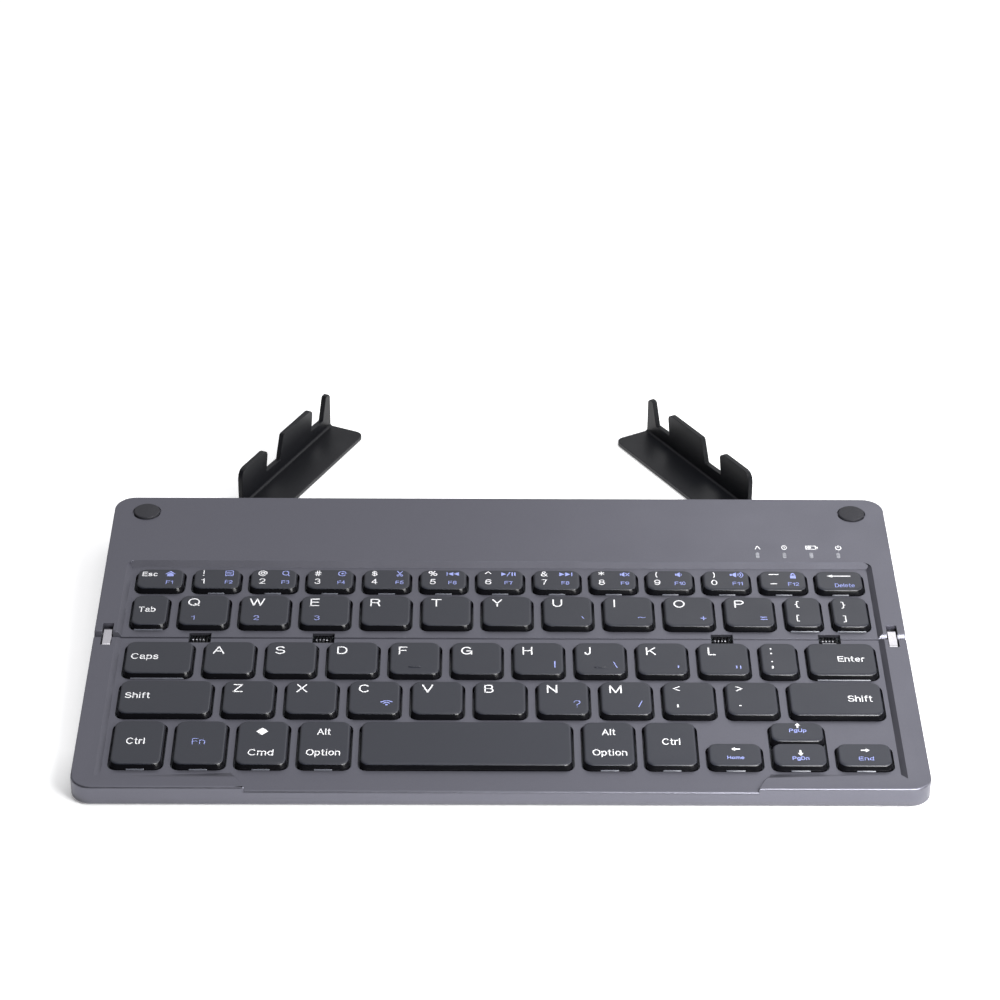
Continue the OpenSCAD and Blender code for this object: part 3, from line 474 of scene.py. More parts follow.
ICON = {
    "home": Sketch().poly([(0, 0.42), (0.5, 1), (1, 0.42), (0.86, 0.42), (0.5, 0.82), (0.14, 0.42)]).poly([(0.2, 0), (0.8, 0), (0.8, 0.42), (0.5, 0.7), (0.2, 0.42)]),
    "screen": Sketch().arc(0.14, 0.86, 0.1, 0.1, 90, 180, 0.1).line([(0.04, 0.86), (0.04, 0.06)], 0.1).line([(0, 0.06), (1, 0.06)], 0.1).line([(0.96, 0.06), (0.96, 0.9)], 0.1)
        .line([(0.14, 0.95), (0.98, 0.95)], 0.1).line([(0.2, 0.62), (0.8, 0.62)], 0.1).line([(0.2, 0.36), (0.8, 0.36)], 0.1),
    "lens": Sketch().arc(0.45, 0.56, 0.38, 0.38, 0, 360, 0.11, 24).line([(0.7, 0.28), (0.97, 0.03)], 0.13),
    "turn": Sketch().arc(0.5, 0.5, 0.42, 0.42, 20, 330, 0.11, 22).poly([(0.72, 0.5), (1.02, 0.5), (0.88, 0.76)]).disc(0.5, 0.5, 0.13, 0.13),
    "scissors": Sketch().line([(0.1, 1), (0.68, 0.3)], 0.13).line([(0.9, 1), (0.32, 0.3)], 0.13).arc(0.22, 0.18, 0.16, 0.14, 0, 360, 0.1, 16).arc(0.78, 0.18, 0.16, 0.14, 0, 360, 0.1, 16),
    "prev": Sketch().line([(0.04, 0.05), (0.04, 0.95)], 0.07).poly([(0.14, 0.5), (0.54, 0.04), (0.54, 0.96)]).poly([(0.58, 0.5), (1, 0.04), (1, 0.96)]),
    "next": Sketch().line([(0.96, 0.05), (0.96, 0.95)], 0.07).poly([(0.86, 0.5), (0.46, 0.96), (0.46, 0.04)]).poly([(0.42, 0.5), (0, 0.96), (0, 0.04)]),
    "play": Sketch().poly([(0, 0.04), (0.34, 0.5), (0, 0.96)]).line([(0.38, 0.02), (0.62, 0.98)], 0.06).line([(0.76, 0.05), (0.76, 0.95)], 0.09).line([(0.95, 0.05), (0.95, 0.95)], 0.09),
    "mute": speaker(0).line([(0.56, 0.2), (0.98, 0.8)], 0.09).line([(0.56, 0.8), (0.98, 0.2)], 0.09),
    "vol_down": speaker(1),
    "vol_up": speaker(3),
    "lock": Sketch().poly([(0.06, 0), (0.94, 0), (0.94, 0.52), (0.06, 0.52)]).arc(0.5, 0.54, 0.28, 0.36, 0, 180, 0.15, 12),
    "mark": Sketch().poly([(0.5, 0), (1, 0.5), (0.5, 1), (0, 0.5)]),
    "radio": Sketch().disc(0.5, 0.12, 0.12, 0.12).arc(0.5, 0.12, 0.36, 0.36, 35, 145, 0.13, 10).arc(0.5, 0.12, 0.68, 0.68, 38, 142, 0.13, 12),
    "left": Sketch().poly([(0, 0.5), (0.42, 0), (0.42, 0.34), (1, 0.34), (1, 0.66), (0.42, 0.66), (0.42, 1)]),
    "right": Sketch().poly([(1, 0.5), (0.58, 1), (0.58, 0.66), (0, 0.66), (0, 0.34), (0.58, 0.34), (0.58, 0)]),
    "up": Sketch().poly([(0.5, 1), (0, 0.52), (0.34, 0.52), (0.34, 0), (0.66, 0), (0.66, 0.52), (1, 0.52)]),
    "down": Sketch().poly([(0.5, 0), (1, 0.48), (0.66, 0.48), (0.66, 1), (0.34, 1), (0.34, 0.48), (0, 0.48)]),
    "long_left": Sketch().poly([(0, 0.5), (0.24, 0.06), (0.24, 0.36), (1, 0.36), (1, 0.64), (0.24, 0.64), (0.24, 0.94)]),
    "caret": Sketch().line([(0.04, 0.05), (0.5, 0.93)], 0.2).line([(0.96, 0.05), (0.5, 0.93)], 0.2),
    "num": Sketch().arc(0.5, 0.5, 0.42, 0.42, 0, 360, 0.14, 20).line([(0.42, 0.68), (0.53, 0.74), (0.53, 0.26)], 0.12),
    "battery": Sketch().line([(0, 0.12), (0.84, 0.12)], 0.16).line([(0, 0.88), (0.84, 0.88)], 0.16).line([(0.05, 0.1), (0.05, 0.9)], 0.1).line([(0.82, 0.1), (0.82, 0.9)], 0.1)
        .poly([(0.9, 0.3), (1, 0.3), (1, 0.7), (0.9, 0.7)]).poly([(0.16, 0.3), (0.44, 0.3), (0.44, 0.7), (0.16, 0.7)]),
    "power": Sketch().arc(0.5, 0.46, 0.4, 0.42, 125, 415, 0.15, 20).line([(0.5, 0.5), (0.5, 1)], 0.15),
}

# ---------------------------------------------------------------- key layout (case frame, mm)
NUM_Y, Q_Y, A_Y, Z_Y, B_Y, LOW_Y = (23.3, 35.3), (3.7, 20.9), (-21.4, -3.6), (-41.4, -23.6), (-65.8, -43.6), (-65.8, -53.7)


def num(i):
    return (-114.9 + 17.83 * i, -98.9 + 17.83 * i) + NUM_Y


W_, B_ = 2, 3  # material slots of white and blue ink
LH = 3.9       # height of a letter


def letter(s, x0, w, top):
    return ("t", s, x0, x0 + w, top - LH, top, W_)


KEYS = []  # (name, node, hole, legends, lip)


def key(name, node, hole, legends, lip=False):
    KEYS.append((name, node, hole, legends, lip))


# number row: digit with its symbol, and a blue icon over its F number
SYM = ["!", "@", "#", "$", "%", "^", "&", "*", "(", ")"]
SYM_W = [0.55, 2.9, 2.1, 1.8, 2.8, 2.0, 2.1, 2.0, 0.85, 0.85]
SYM_H = [2.9, 3.0, 2.9, 2.9, 2.6, 1.5, 2.7, 2.0, 3.3, 3.3]
DIG_W = [1.0, 1.9, 1.8, 1.9, 1.8, 1.9, 1.7, 1.9, 1.9, 1.9]
SYM_X = [-93.4, -74.75, -57.35, -39.5, -21.1, -3.65, 14.05, 32.1, 49.6, 67.55]
NUM_ICON = [("screen", -86.6, -84.0), ("lens", -68.7, -66.2), ("turn", -51.1, -48.3), ("scissors", -32.6, -30.5), ("prev", -16.8, -12.9),
            ("play", 0.5, 5.0), ("next", 18.8, 22.9), ("mute", 38.0, 41.0), ("vol_down", 55.4, 58.6), ("vol_up", 72.7, 77.0)]
F_X = [(-86.5, -84.1), (-68.7, -66.2), (-51.1, -48.7), (-32.8, -30.3), (-16.2, -13.6), (1.5, 4.1), (19.4, 21.9), (38.1, 40.7), (55.1, 58.5), (73.3, 76.5)]
key("cap_esc", "key_esc", num(0), [("t", "Esc", -112.7, -107.9, 30.6, 33.0, W_), ("i", "home", -105.6, -102.2, 30.6, 33.5, B_),
                                   ("t", "F1", -105.0, -102.8, 26.5, 28.3, B_)])
for i in range(10):
    d = str((i + 1) % 10)
    sx = SYM_X[i]
    top = 33.9
    mid = 32.4
    sy = (top - SYM_H[i], top)
    icon, ia, ib = NUM_ICON[i]
    ih = 2.2 if icon in ("prev", "play", "next") else 2.9
    leg = [("t", SYM[i], sx - SYM_W[i] / 2, sx + SYM_W[i] / 2, sy[0], sy[1], W_),
           ("t", d, sx - DIG_W[i] / 2, sx + DIG_W[i] / 2, 26.7, 29.5, W_),
           ("i", icon, ia, ib, mid - ih / 2 - 0.05, mid + ih / 2 - 0.05, B_),
           ("t", "F%d" % (i + 2), F_X[i][0], F_X[i][1], 26.7, 28.5, B_)]
    key("cap_" + d, "keys_number_row", num(i + 1), leg, True)
key("cap_minus", "keys_number_row", num(11), [("r", 85.0, 88.1, 32.4, 32.85, W_), ("r", 85.2, 87.3, 27.3, 27.75, W_),
                                              ("i", "lock", 91.6, 93.6, 30.5, 33.5, B_), ("t", "F12", 90.8, 94.2, 26.5, 28.3, B_)], True)
key("cap_delete", "key_delete", num(12), [("i", "long_left", 103.3, 110.8, 31.0, 32.7, W_), ("t", "Delete", 105.5, 111.7, 25.8, 27.8, B_)], True)

key("cap_tab", "key_tab", (-114.9, -102.5) + Q_Y, [("t", "Tab", -112.3, -107.0, 11.3, 14.0, W_)], "wide")
QX = [(-97.2, 3.7), (-78.0, 4.7), (-59.1, 2.8), (-40.4, 3.1), (-21.4, 3.1), (-2.4, 3.1), (16.4, 3.0), (35.35, 0.6), (54.1, 3.5), (73.1, 3.0)]
Q_EXTRA = {0: [("t", "1", -95.6, -94.6, 7.2, 9.5, B_)], 1: [("t", "2", -76.4, -74.7, 7.2, 9.5, B_)], 2: [("t", "3", -57.6, -55.9, 7.2, 9.5, B_)],
           6: [("t", "`", 25.3, 26.1, 8.2, 9.5, B_)], 7: [("t", "~", 42.7, 45.1, 8.7, 9.4, B_)],
           8: [("r", 62.2, 64.0, 8.55, 8.9, B_), ("r", 62.93, 63.27, 7.8, 9.65, B_)], 9: [("r", 80.8, 82.9, 9.25, 9.6, B_), ("r", 80.8, 82.9, 8.1, 8.45, B_)]}
for i, s in enumerate("QWERTYUIOP"):
    x = -100.3 + 18.83 * i
    top = 18.35 + (0.2 if i < 8 else 0.0)
    leg = [letter(s, QX[i][0], QX[i][1], top)] + Q_EXTRA.get(i, [])
    key("cap_" + s.lower(), "keys_q_row", (x, x + 16.7) + Q_Y, leg)
key("cap_bracket_open", "key_bracket_open", (88.1, 100.5) + Q_Y, [("t", "{", 91.9, 93.3, 14.5, 18.1, W_), ("t", "[", 92.0, 92.9, 7.2, 10.7, W_)], "wide")
key("cap_bracket_close", "key_bracket_close", (102.6, 115.1) + Q_Y, [("t", "}", 106.4, 107.8, 14.2, 17.8, W_), ("t", "]", 106.5, 107.4, 6.9, 10.4, W_)], "wide")

key("cap_caps", "key_caps", (-114.9, -93.1) + A_Y, [("t", "Caps", -112.4, -104.1, -14.15, -10.5, W_)], "wide")
AX = [(-87.7, 3.5), (-68.7, 3.0), (-49.8, 3.1), (-31.0, 2.6), (-12.0, 3.4), (6.8, 3.0), (25.7, 1.9), (44.5, 3.0), (63.4, 2.4)]
A_EXTRA = {3: [("b", -28.0, -24.2)], 5: [("r", 16.35, 16.7, -17.2, -13.9, B_)], 6: [("b", 28.5, 32.4), ("t", "\\", 34.3, 35.5, -17.2, -14.2, B_)],
           7: [("t", "'", 53.85, 54.25, -17.2, -15.9, B_)], 8: [("t", "\"", 71.6, 73.1, -17.4, -16.0, B_)]}
for i, s in enumerate("ASDFGHJKL"):
    x = -90.9 + 18.83 * i
    leg = [letter(s, AX[i][0], AX[i][1], -6.7)] + A_EXTRA.get(i, [])
    key("cap_" + s.lower(), "keys_a_row", (x, x + 16.7) + A_Y, leg)
key("cap_semicolon", "key_semicolon", (78.6, 91.1) + A_Y, [("t", ":", 82.45, 82.95, -10.0, -6.9, W_), ("t", ";", 82.35, 83.0, -17.4, -13.5, W_)])
key("cap_enter", "key_enter", (93.1, 115.1) + A_Y, [("t", "Enter", 102.8, 111.0, -13.7, -11.0, W_)], "wide")

key("cap_shift_left", "key_shift_left", (-114.9, -85.9) + Z_Y, [("t", "Shift", -112.5, -105.0, -33.1, -30.3, W_)])
ZX = [(-80.4, 3.0), (-61.3, 3.2), (-42.6, 3.2), (-23.6, 3.3), (-4.9, 2.8), (13.9, 3.1), (32.7, 3.7)]
Z_EXTRA = {2: [("i", "radio", -35.7, -32.5, -36.4, -33.6, B_)], 5: [("t", "?", 21.8, 23.8, -37.1, -33.7, B_)], 6: [("t", "/", 41.1, 42.4, -36.9, -33.8, B_)]}
for i, s in enumerate("ZXCVBNM"):
    x = -83.9 + 18.85 * i
    leg = [letter(s, ZX[i][0], ZX[i][1], -26.1)] + Z_EXTRA.get(i, [])
    key("cap_" + s.lower(), "keys_z_row", (x, x + 16.75) + Z_Y, leg)
key("cap_comma", "keys_z_row", (-83.9 + 18.85 * 7, -83.9 + 18.85 * 7 + 16.75) + Z_Y,
    [("t", "<", 51.8, 53.9, -28.8, -26.5, W_), ("t", ",", 52.6, 53.2, -37.0, -35.5, W_)])
key("cap_period", "keys_z_row", (-83.9 + 18.85 * 8, -83.9 + 18.85 * 8 + 16.75) + Z_Y,
    [("t", ">", 70.7, 72.8, -28.8, -26.5, W_), ("t", ".", 71.25, 71.95, -36.4, -35.7, W_)])
key("cap_shift_right", "key_shift_right", (85.8, 115.1) + Z_Y, [("t", "Shift", 104.0, 111.4, -33.9, -30.9, W_)])

key("cap_ctrl_left", "key_ctrl_left", (-114.9, -98.5) + B_Y, [("t", "Ctrl", -110.1, -104.6, -55.5, -52.5, W_)], True)
key("cap_fn", "key_fn", (-96.6, -80.2) + B_Y, [("t", "Fn", -90.8, -87.0, -55.5, -52.7, B_)], True)
key("cap_cmd", "key_cmd", (-78.3, -62.0) + B_Y, [("i", "mark", -72.2, -68.6, -51.1, -47.5, W_), ("t", "Cmd", -74.1, -66.6, -60.8, -57.9, W_)], True)
key("cap_alt_left", "key_alt_left", (-60.1, -43.7) + B_Y, [("t", "Alt", -54.2, -50.2, -50.8, -47.9, W_), ("t", "Option", -57.1, -47.1, -61.4, -57.8, W_)], True)
key("cap_space", "key_space", (-41.9, 21.5) + B_Y, [])
key("cap_alt_right", "key_alt_right", (23.5, 39.9) + B_Y, [("t", "Alt", 29.8, 33.8, -50.6, -47.7, W_), ("t", "Option", 26.8, 36.9, -61.1, -57.5, W_)], True)
key("cap_ctrl_right", "key_ctrl_right", (41.7, 58.1) + B_Y, [("t", "Ctrl", 47.4, 52.8, -55.2, -52.2, W_)], True)
key("cap_left", "key_left", (60.0, 77.0) + LOW_Y, [("i", "left", 67.5, 70.1, -58.0, -56.3, W_), ("t", "Home", 66.1, 71.1, -61.9, -60.4, B_)], True)
key("cap_up", "key_up", (78.9, 96.0, -54.1, -43.6), [("i", "up", 87.0, 88.6, -46.8, -44.6, W_), ("t", "PgUp", 85.2, 90.3, -49.3, -47.3, B_)])
key("cap_down", "key_down", (78.9, 96.0) + LOW_Y, [("i", "down", 86.9, 88.6, -60.2, -57.6, W_), ("t", "PgDn", 85.2, 90.1, -62.6, -60.6, B_)], True)
key("cap_right", "key_right", (97.9, 115.1) + LOW_Y, [("i", "right", 105.5, 108.1, -58.4, -56.7, W_), ("t", "End", 104.6, 109.0, -62.3, -60.6, B_)], True)


def make_cap(name, node, hole, legends, lip):
    hx0, hx1, hy0, hy1 = hole
    x0, x1, y0, y1 = hx0 + 0.35, hx1 - 0.35, hy0 + 0.35, hy1 - 0.35
    g = Geo()

    def r(side, front, rear, rad, z):
        return ring(x0 + side, x1 - side, y0 + front, y1 - rear, rad, z)

    rings = [
        r(1.10, 1.30, 1.10, 1.5, -0.90),   # ceiling of the hollow underside
        r(1.10, 1.30, 1.10, 1.5, -2.20),
        r(0.15, 0.08, 0.08, 2.35, -2.20),
        r(0.12, 0.04, 0.04, 2.40, -2.12),
        r(0.12, 0.04, 0.04, 2.40, -1.35),
        r(0.20, 0.14, 0.10, 2.38, -1.10),
        r(0.48, 0.60, 0.26, 2.40, -0.20),
        r(0.54, 0.70, 0.30, 2.42, -0.03),
        r(0.62, 0.84, 0.38, 2.46, 0.12),
        r(0.76, 1.02, 0.50, 2.50, 0.23),
        r(0.94, 1.24, 0.66, 2.50, 0.285),
        r(1.14, 1.48, 0.86, 2.45, TOP),
        r(1.28, 1.64, 1.00, 2.35, TOP),
    ]
    mats = [1, 1, 1, 1, 1, 1, 1, 0, 0, 0, 0, 0]
    loft(g, rings, mats)
    # the step is painted light grey: a painted highlight along the cap's front skirt
    if lip:  # low step along the middle of the front edge
        cx = (x0 + x1) / 2
        hw = 0.38 * (x1 - x0) if lip == "wide" else 0.17 * (x1 - x0)
        loft(g, [ring(cx - hw, cx + hw, y0 - 0.16, y0 + 0.3, 0.12, -1.62, 3), ring(cx - hw, cx + hw, y0 - 0.16, y0 + 0.3, 0.12, -1.36, 3),
                 ring(cx - hw + 0.1, cx + hw - 0.1, y0 + 0.0, y0 + 0.25, 0.1, -1.18, 3)], [4, 4])
    for leg in legends:
        if leg[0] == "t":
            tall = leg[5] - leg[4]
            w = 0.44 if tall > 3.7 and len(leg[1]) == 1 else (0.33 if leg[1].isalpha() and len(leg[1]) > 1 else 0.31) if leg[6] == W_ and tall > 2.2 else 0.22 if leg[6] == B_ else 0.30
            if leg[1] in ":;.,'\"":
                w = 0.52 if leg[6] == W_ else 0.34
            text(g, leg[1], leg[2], leg[3], leg[4], leg[5], leg[6], w=w)
        elif leg[0] == "i":
            ICON[leg[1]].put(g, leg[2], leg[3], leg[4], leg[5], leg[6])
        elif leg[0] == "r":
            flat(g, [(leg[1], leg[3]), (leg[2], leg[3]), (leg[2], leg[4]), (leg[1], leg[4])], [[0, 1, 2, 3]], leg[5], TOP + INK)
        elif leg[0] == "b":  # homing bar
            a, b = leg[1], leg[2]
            loft(g, [ring(a, b, -17.25, -16.65, 0.28, TOP - 0.02, 4), ring(a + 0.06, b - 0.06, -17.2, -16.7, 0.24, TOP + 0.16, 4),
                     ring(a + 0.18, b - 0.18, -17.08, -16.82, 0.12, TOP + 0.24, 4)], [0, 0])
    o = g.make(name, [M["cap"], M["cap_side_black_with_painted_shade"], M["white"], M["blue"], M["lip"]])
    body = node + "_cap"
    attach(o, body)
    return o


def replace_all(objs, *names):
    for o in objs:
        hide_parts(*names)


for name, node, hole, legends, lip in KEYS:
    o = make_cap(name, node, hole, legends, lip)
    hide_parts(node)


# ---------------------------------------------------------------- CAD shells with softened edges
def tighten(bm):
    """Front corners from 8.5 to 6.2 mm in radius, which moves them outward by less than 1 mm."""
    for v in bm.verts:
        c = UNCASE @ v.co
        dx, dy = abs(c.x) - 116.5, -c.y - 67
        far = math.hypot(dx, dy)
        if dx > -0.01 and dy > -0.01 and far > 8.3:
            c.x = math.copysign(118.8 + 6.2 * dx / far, c.x)
            c.y = -(69.3 + 6.2 * dy / far)
            v.co = CASE @ c


def refine(node, name, mats, width, angle=28.0, segments=2, body=None, dissolve=1.0, wide=None, dark=None):
    """A copy of a CAD node: welded, its flat faces merged, its edges rounded. wide gives an edge's width in mm,
    dark picks the faces of the second material, both from places in the case frame."""
    src = nodes[node]
    me = src.data.copy()
    o = bpy.data.objects.new(name, me)
    bpy.context.scene.collection.objects.link(o)
    bm = bmesh.new()
    bm.from_mesh(me)
    if node.startswith("front_"):
        tighten(bm)
    bmesh.ops.remove_doubles(bm, verts=bm.verts, dist=2e-6)
    bmesh.ops.dissolve_degenerate(bm, dist=1e-6, edges=bm.edges)
    bmesh.ops.dissolve_limit(bm, angle_limit=math.radians(dissolve), verts=bm.verts, edges=bm.edges)
    for f in bm.faces:
        f.smooth = True
        f.material_index = 0
        if dark and dark(UNCASE @ f.calc_center_median()):
            f.material_index = 1
    widest = 0.0
    if wide:
        layer = bm.edges.layers.float.new("bevel_weight_edge")
        found = []
        for e in bm.edges:
            if len(e.link_faces) == 2 and e.calc_face_angle(0) > math.radians(angle):
                w = wide(UNCASE @ e.verts[0].co, UNCASE @ e.verts[1].co)
                if w:
                    found.append((e, w))
        widest = max(w for _, w in found)
        for e, w in found:
            e[layer] = w / widest
    bm.to_mesh(me)
    bm.free()
    me.materials.clear()
    for m in mats:
        me.materials.append(m)
    if wide:
        rim = o.modifiers.new("rim", "BEVEL")
        rim.limit_method = "WEIGHT"
        rim.width = widest * 0.001
        rim.segments = 4
        rim.use_clamp_overlap = False
        rim.harden_normals = False
    bv = o.modifiers.new("edge", "BEVEL")
    bv.limit_method = "ANGLE"
    bv.angle_limit = math.radians(angle)
    bv.width = width * 0.001
    bv.segments = segments
    bv.use_clamp_overlap = True
    bv.miter_outer = "MITER_ARC"
    bv.harden_normals = False
    wn = o.modifiers.new("normals", "WEIGHTED_NORMAL")
    wn.keep_sharp = True
    wn.weight = 80
    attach(o, body or src["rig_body"])
    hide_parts(node)
    return o


def rim_edge(a, b):
    """Wider rounding on the outer rim, widest along the front, and on the curved ends of the finger recess."""
    if a.z < -1.6 or b.z < -1.6:
        return None
    def at(p):
        return abs(p.x) > 124.9 or p.y < -75.2 or p.y > 76.2 or (abs(p.x) > 118 and (p.y < -69 or p.y > 69.8) and math.hypot(abs(p.x) - 118.8, abs(p.y) - (69.3 if p.y < 0 else 70.1)) > 6.0)
    if at(a) and at(b):
        return 0.7 if a.y < -60 else 0.4
    if 73 < abs(a.x) < 79 and 73 < abs(b.x) < 79 and a.y < -66.4 and b.y < -66.4 and max(a.z, b.z) > -1.3:
        return max(0.08, min(0.35, 0.35 * ((a.z + b.z) / 2 + 1.4)))
    return None


# faces below the deck, which get the near-black painted shade
def below_deck(c):
    return c.z < -1.45 and abs(c.x) < 123 and -74 < c.y < 75


SHELLS = [
    ("rear_bottom_cover", "shell_rear_bottom", "cover", 0.2, "cover_plastic"),
    ("front_bottom_cover", "shell_front_bottom", "cover", 0.2, "cover_plastic"),
    ("stand_arm_left", "arm_left", "arm", 0.22, "arm_plastic"),
    ("stand_arm_right", "arm_right", "arm", 0.22, "arm_plastic"),
    ("hinge_link_left", "link_left", "steel", 0.22, "link_steel"),
    ("hinge_link_right", "link_right", "steel", 0.22, "link_steel"),
    ("power_switch_knob", "switch_knob", "knob", 0.2, "knob_plastic"),
    ("rear_feet", "feet_rear", "rubber", 0.25, "foot_rubber"),
    ("front_feet", "feet_front", "rubber", 0.2, "foot_rubber"),
]
# the top cases take the painted shade on their faces below the deck
refine("rear_top_case", "shell_rear_top", [M["case"], M["shade"]], 0.16, wide=rim_edge, dark=below_deck)
refine("front_top_case", "shell_front_top", [M["case"], M["shade"]], 0.16, wide=rim_edge, dark=below_deck)
for node, name, m, w, slot in SHELLS:
    refine(node, name, [M[m]], w)

# ---------------------------------------------------------------- wires across the fold
WINDOWS = (-92.4, -54.4, 68.35, 101.5)


def wires(name, y_from, y_to):
    g = Geo()
    for wx in WINDOWS:
        for i in range(-2, 3):
            cx = wx + 1.05 * i
            rings_ = []
            n = 10
            steps = 8
            for k in range(steps + 1):
                y = y_from + (y_to - y_from) * k / steps
                z = -3.0 + 0.25 * (1 - (y / 3.8) ** 2)
                rings_.append([(cx + 0.4 * math.cos(2 * math.pi * j / n), y, z + 0.36 * math.sin(2 * math.pi * j / n)) for j in range(n)])
            loft(g, rings_, [0] * steps)
    o = g.make(name, [M["cable"]], smooth=60)
    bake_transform(o)
    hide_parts("flex_cables")
    return o


wires("wires_rear", 3.8, 0.0)
wires("wires_front", -3.8, 0.0)

# bright crimps on the wires, and a bar in the right-hand window
g = Geo()
for wx in WINDOWS:
    for i in range(-2, 2):
        cx = wx + 1.05 * i
        loft(g, [ring(cx - 0.34, cx + 0.34, -0.34, 0.34, 0.33, -2.9, 4), ring(cx - 0.34, cx + 0.34, -0.34, 0.34, 0.33, -2.2, 4),
                 ring(cx - 0.2, cx + 0.2, -0.2, 0.2, 0.19, -2.0, 4)], [0, 0])
loft(g, [ring(99.2, 103.6, -1.75, -0.95, 0.2, -2.8, 3), ring(99.2, 103.6, -1.75, -0.95, 0.2, -2.2, 3), ring(99.3, 103.5, -1.65, -1.05, 0.15, -2.1, 3)], [0, 0])
crimps = g.make("wire_crimps", [M["port"]])
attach(crimps, "hinge_links")

# rubber bumpers, a little smaller than their pockets
for sx, nm in ((-1, "bumper_left"), (1, "bumper_right")):
    g = Geo()
    bx, by = sx * 114.4, 67.6
    loft(g, [ring(bx - r_, bx + r_, by - r_, by + r_, r_ - 0.001, z_, 12) for r_, z_ in
             ((4.2, -0.6), (4.2, 0.25), (4.14, 0.42), (4.0, 0.53), (3.8, 0.58))], [0, 0, 0, 0])
    o = g.make(nm, [M["bumper"]], smooth=50)
    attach(o, "rear_half")
    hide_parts("corner_bumpers")

# ---------------------------------------------------------------- indicator marks on the rear deck
g = Geo()
ZI = 0.012
ICON["caret"].put(g, 81.65, 83.45, 47.1, 49.2, 0, ZI)
ICON["num"].put(g, 90.2, 92.0, 46.9, 49.5, 0, ZI)
ICON["battery"].put(g, 97.9, 101.9, 47.0, 49.4, 0, ZI)
ICON["power"].put(g, 107.4, 109.5, 46.9, 49.5, 0, ZI)
marks = g.make("indicator_marks", [M["white"]])
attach(marks, "rear_half")

# ---------------------------------------------------------------- floor, world, lights, camera
me = bpy.data.meshes.new("floor")
me.from_pydata([(-4, -3, 0), (4, -3, 0), (4, 6, 0), (-4, 6, 0)], [], [(0, 1, 2, 3)])
floor = bpy.data.objects.new("floor", me)
bpy.context.scene.collection.objects.link(floor)
fm = bpy.data.materials.new("floor_white_with_painted_glow")
fm.use_nodes = True
fp = fm.node_tree.nodes["Principled BSDF"]
fn = fm.node_tree.nodes.new("ShaderNodeTexNoise")
fn.inputs["Scale"].default_value = 3
fr = fm.node_tree.nodes.new("ShaderNodeMapRange")
fr.inputs["To Min"].default_value = 0.62
fr.inputs["To Max"].default_value = 0.70
fm.node_tree.links.new(fn.outputs["Fac"], fr.inputs["Value"])
fm.node_tree.links.new(fr.outputs["Result"], fp.inputs["Roughness"])
fp.inputs["Base Color"].default_value = (0.92, 0.92, 0.92, 1)
fp.inputs["Specular IOR Level"].default_value = 0.1
# the floor glows, weakly in front of the part and more strongly behind it: painted light that washes out the part's
# shadows on the floor
fp.inputs["Emission Color"].default_value = (1, 1, 1, 1)
fc = fm.node_tree.nodes.new("ShaderNodeTexCoord")
fs = fm.node_tree.nodes.new("ShaderNodeSeparateXYZ")
fe = fm.node_tree.nodes.new("ShaderNodeMapRange")
fe.inputs["From Min"].default_value = -0.125
fe.inputs["From Max"].default_value = -0.085
fe.inputs["To Min"].default_value = 0.08
fe.inputs["To Max"].default_value = 0.50
fm.node_tree.links.new(fc.outputs["Object"], fs.inputs["Vector"])
fm.node_tree.links.new(fs.outputs["Y"], fe.inputs["Value"])
fm.node_tree.links.new(fe.outputs["Result"], fp.inputs["Emission Strength"])
me.materials.append(fm)

world = bpy.data.worlds.new("studio")
bpy.context.scene.world = world
world.use_nodes = True
wn, wl = world.node_tree.nodes, world.node_tree.links
bg = wn["Background"]
tc = wn.new("ShaderNodeTexCoord")
sep = wn.new("ShaderNodeSeparateXYZ")
wl.new(tc.outputs["Generated"], sep.inputs["Vector"])


def wmath(op, a, b=None, clamp=False):
    m = wn.new("ShaderNodeMath")
    m.operation = op
    m.use_clamp = clamp
    for i, v in enumerate((a, b)):
        if v is None:
            continue
        if isinstance(v, (int, float)):
            m.inputs[i].default_value = v
        else:
            wl.new(v, m.inputs[i])
    return m.outputs[0]


# bright behind the part, dim in front of it, a little brighter to the right
high = wmath("MULTIPLY", wmath("ADD", sep.outputs["Z"], 0.05), 2.0, clamp=True)
rear = wmath("MULTIPLY", wmath("MULTIPLY", wmath("MULTIPLY", wmath("ADD", sep.outputs["Y"], 0.2), 1.25, clamp=True), high), 0.54)
over = wmath("MULTIPLY", wmath("ADD", sep.outputs["Y"], 0.5), 1.5, clamp=True)
up = wmath("MULTIPLY", wmath("MULTIPLY", wmath("MAXIMUM", sep.outputs["Z"], 0.0), over), 0.25)
right = wmath("MULTIPLY", sep.outputs["X"], 0.20)
level = wmath("ADD", wmath("ADD", wmath("ADD", up, right), rear), 0.07)
level = wmath("MAXIMUM", level, 0.04)
comb = wn.new("ShaderNodeCombineColor")
wl.new(level, comb.inputs[0])
wl.new(level, comb.inputs[1])
wl.new(wmath("MULTIPLY", level, 1.03), comb.inputs[2])
wl.new(comb.outputs[0], bg.inputs["Color"])
bg.inputs["Strength"].default_value = 1.0


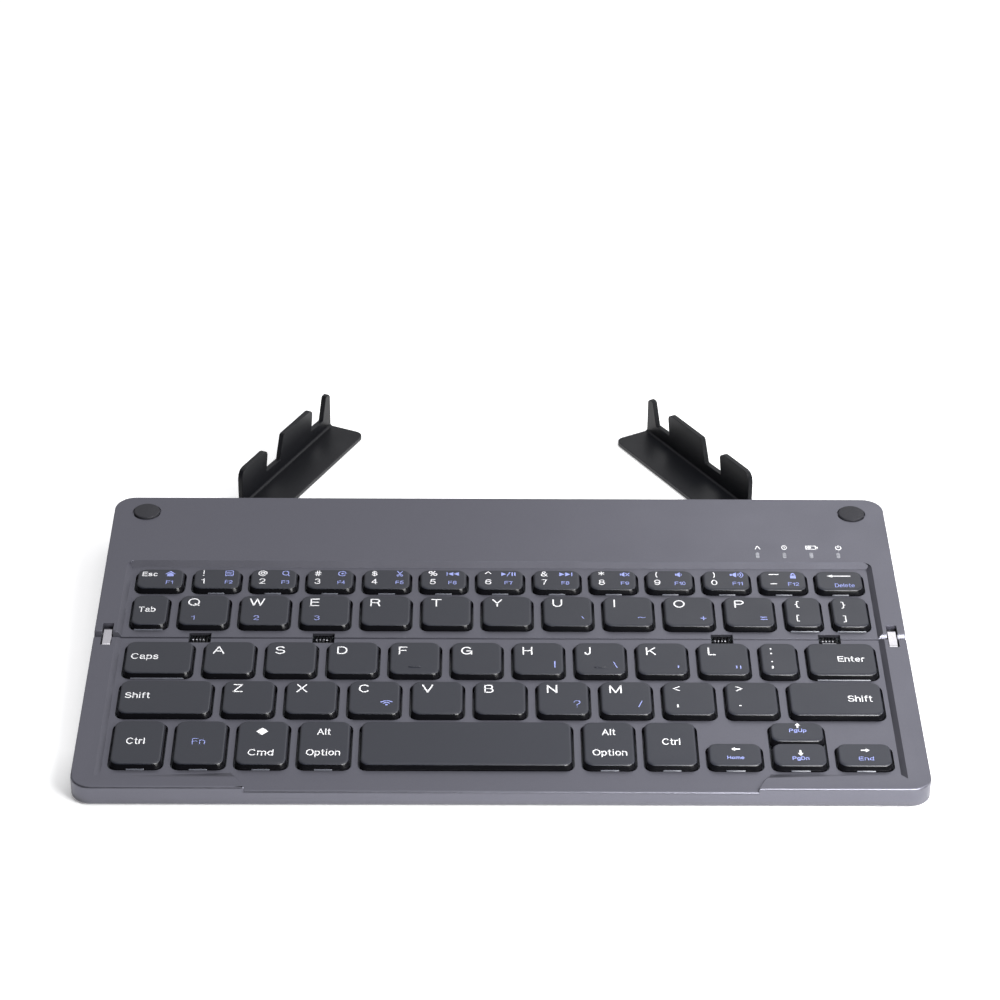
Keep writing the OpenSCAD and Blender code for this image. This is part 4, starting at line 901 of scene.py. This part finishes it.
def area(name, loc, target, size, power, color=(1, 1, 1)):
    li = bpy.data.lights.new(name, "AREA")
    li.shape = "RECTANGLE"
    li.size, li.size_y = size
    li.energy = power
    li.color = color
    o = bpy.data.objects.new(name, li)
    o.location = loc
    o.rotation_mode = "QUATERNION"
    o.rotation_quaternion = (Vector(target) - Vector(loc)).to_track_quat("-Z", "Y")
    bpy.context.scene.collection.objects.link(o)
    return o


area("softbox_rear_right", (0.30, 0.55, 0.47), (0.08, 0.02, 0), (0.46, 0.30), 0.46)
area("softbox_front_right", (0.25, -0.37, 0.29), (0.15, -0.18, 0), (0.28, 0.20), 4.0)
area("softbox_right", (0.82, 0.0, 0.62), (0, 0, 0), (0.3, 0.3), 1.8)
area("softbox_top", (0.10, 0.0, 1.25), (0.0, 0, 0), (0.8, 0.8), 3.2)

cam_data = bpy.data.cameras.new("camera")
cam_data.sensor_width = 36
cam_data.lens = 36 * 3.279
cam_data.clip_start, cam_data.clip_end = 0.05, 20
cam = bpy.data.objects.new("camera", cam_data)
bpy.context.scene.collection.objects.link(cam)
pitch, yaw, roll = math.radians(33.5), -0.00892546, 0.00832237
ce, se = math.cos(pitch), math.sin(pitch)
R = Matrix(((1, 0, 0), (0, se, ce), (0, ce, -se)))
Rz = Matrix(((math.cos(yaw), math.sin(yaw), 0), (-math.sin(yaw), math.cos(yaw), 0), (0, 0, 1)))
Rr = Matrix(((math.cos(roll), math.sin(roll), 0), (-math.sin(roll), math.cos(roll), 0), (0, 0, 1)))
A = Matrix.Rotation(TILT, 3, "X")
rows = Rr @ R @ Rz @ A.transposed()
right_v, up_v, fwd_v = Vector(rows[0]), Vector(rows[1]), Vector(rows[2])
rot = Matrix((right_v, up_v, -fwd_v)).transposed()
cam.matrix_world = Matrix.Translation((-0.0077197, -0.892821, 0.550569)) @ rot.to_4x4()
bpy.context.scene.camera = cam

sc = bpy.context.scene
sc.view_settings.view_transform = "Standard"
sc.view_settings.look = "None"
sc.view_settings.exposure = 0.0
sc.view_settings.gamma = 1.0
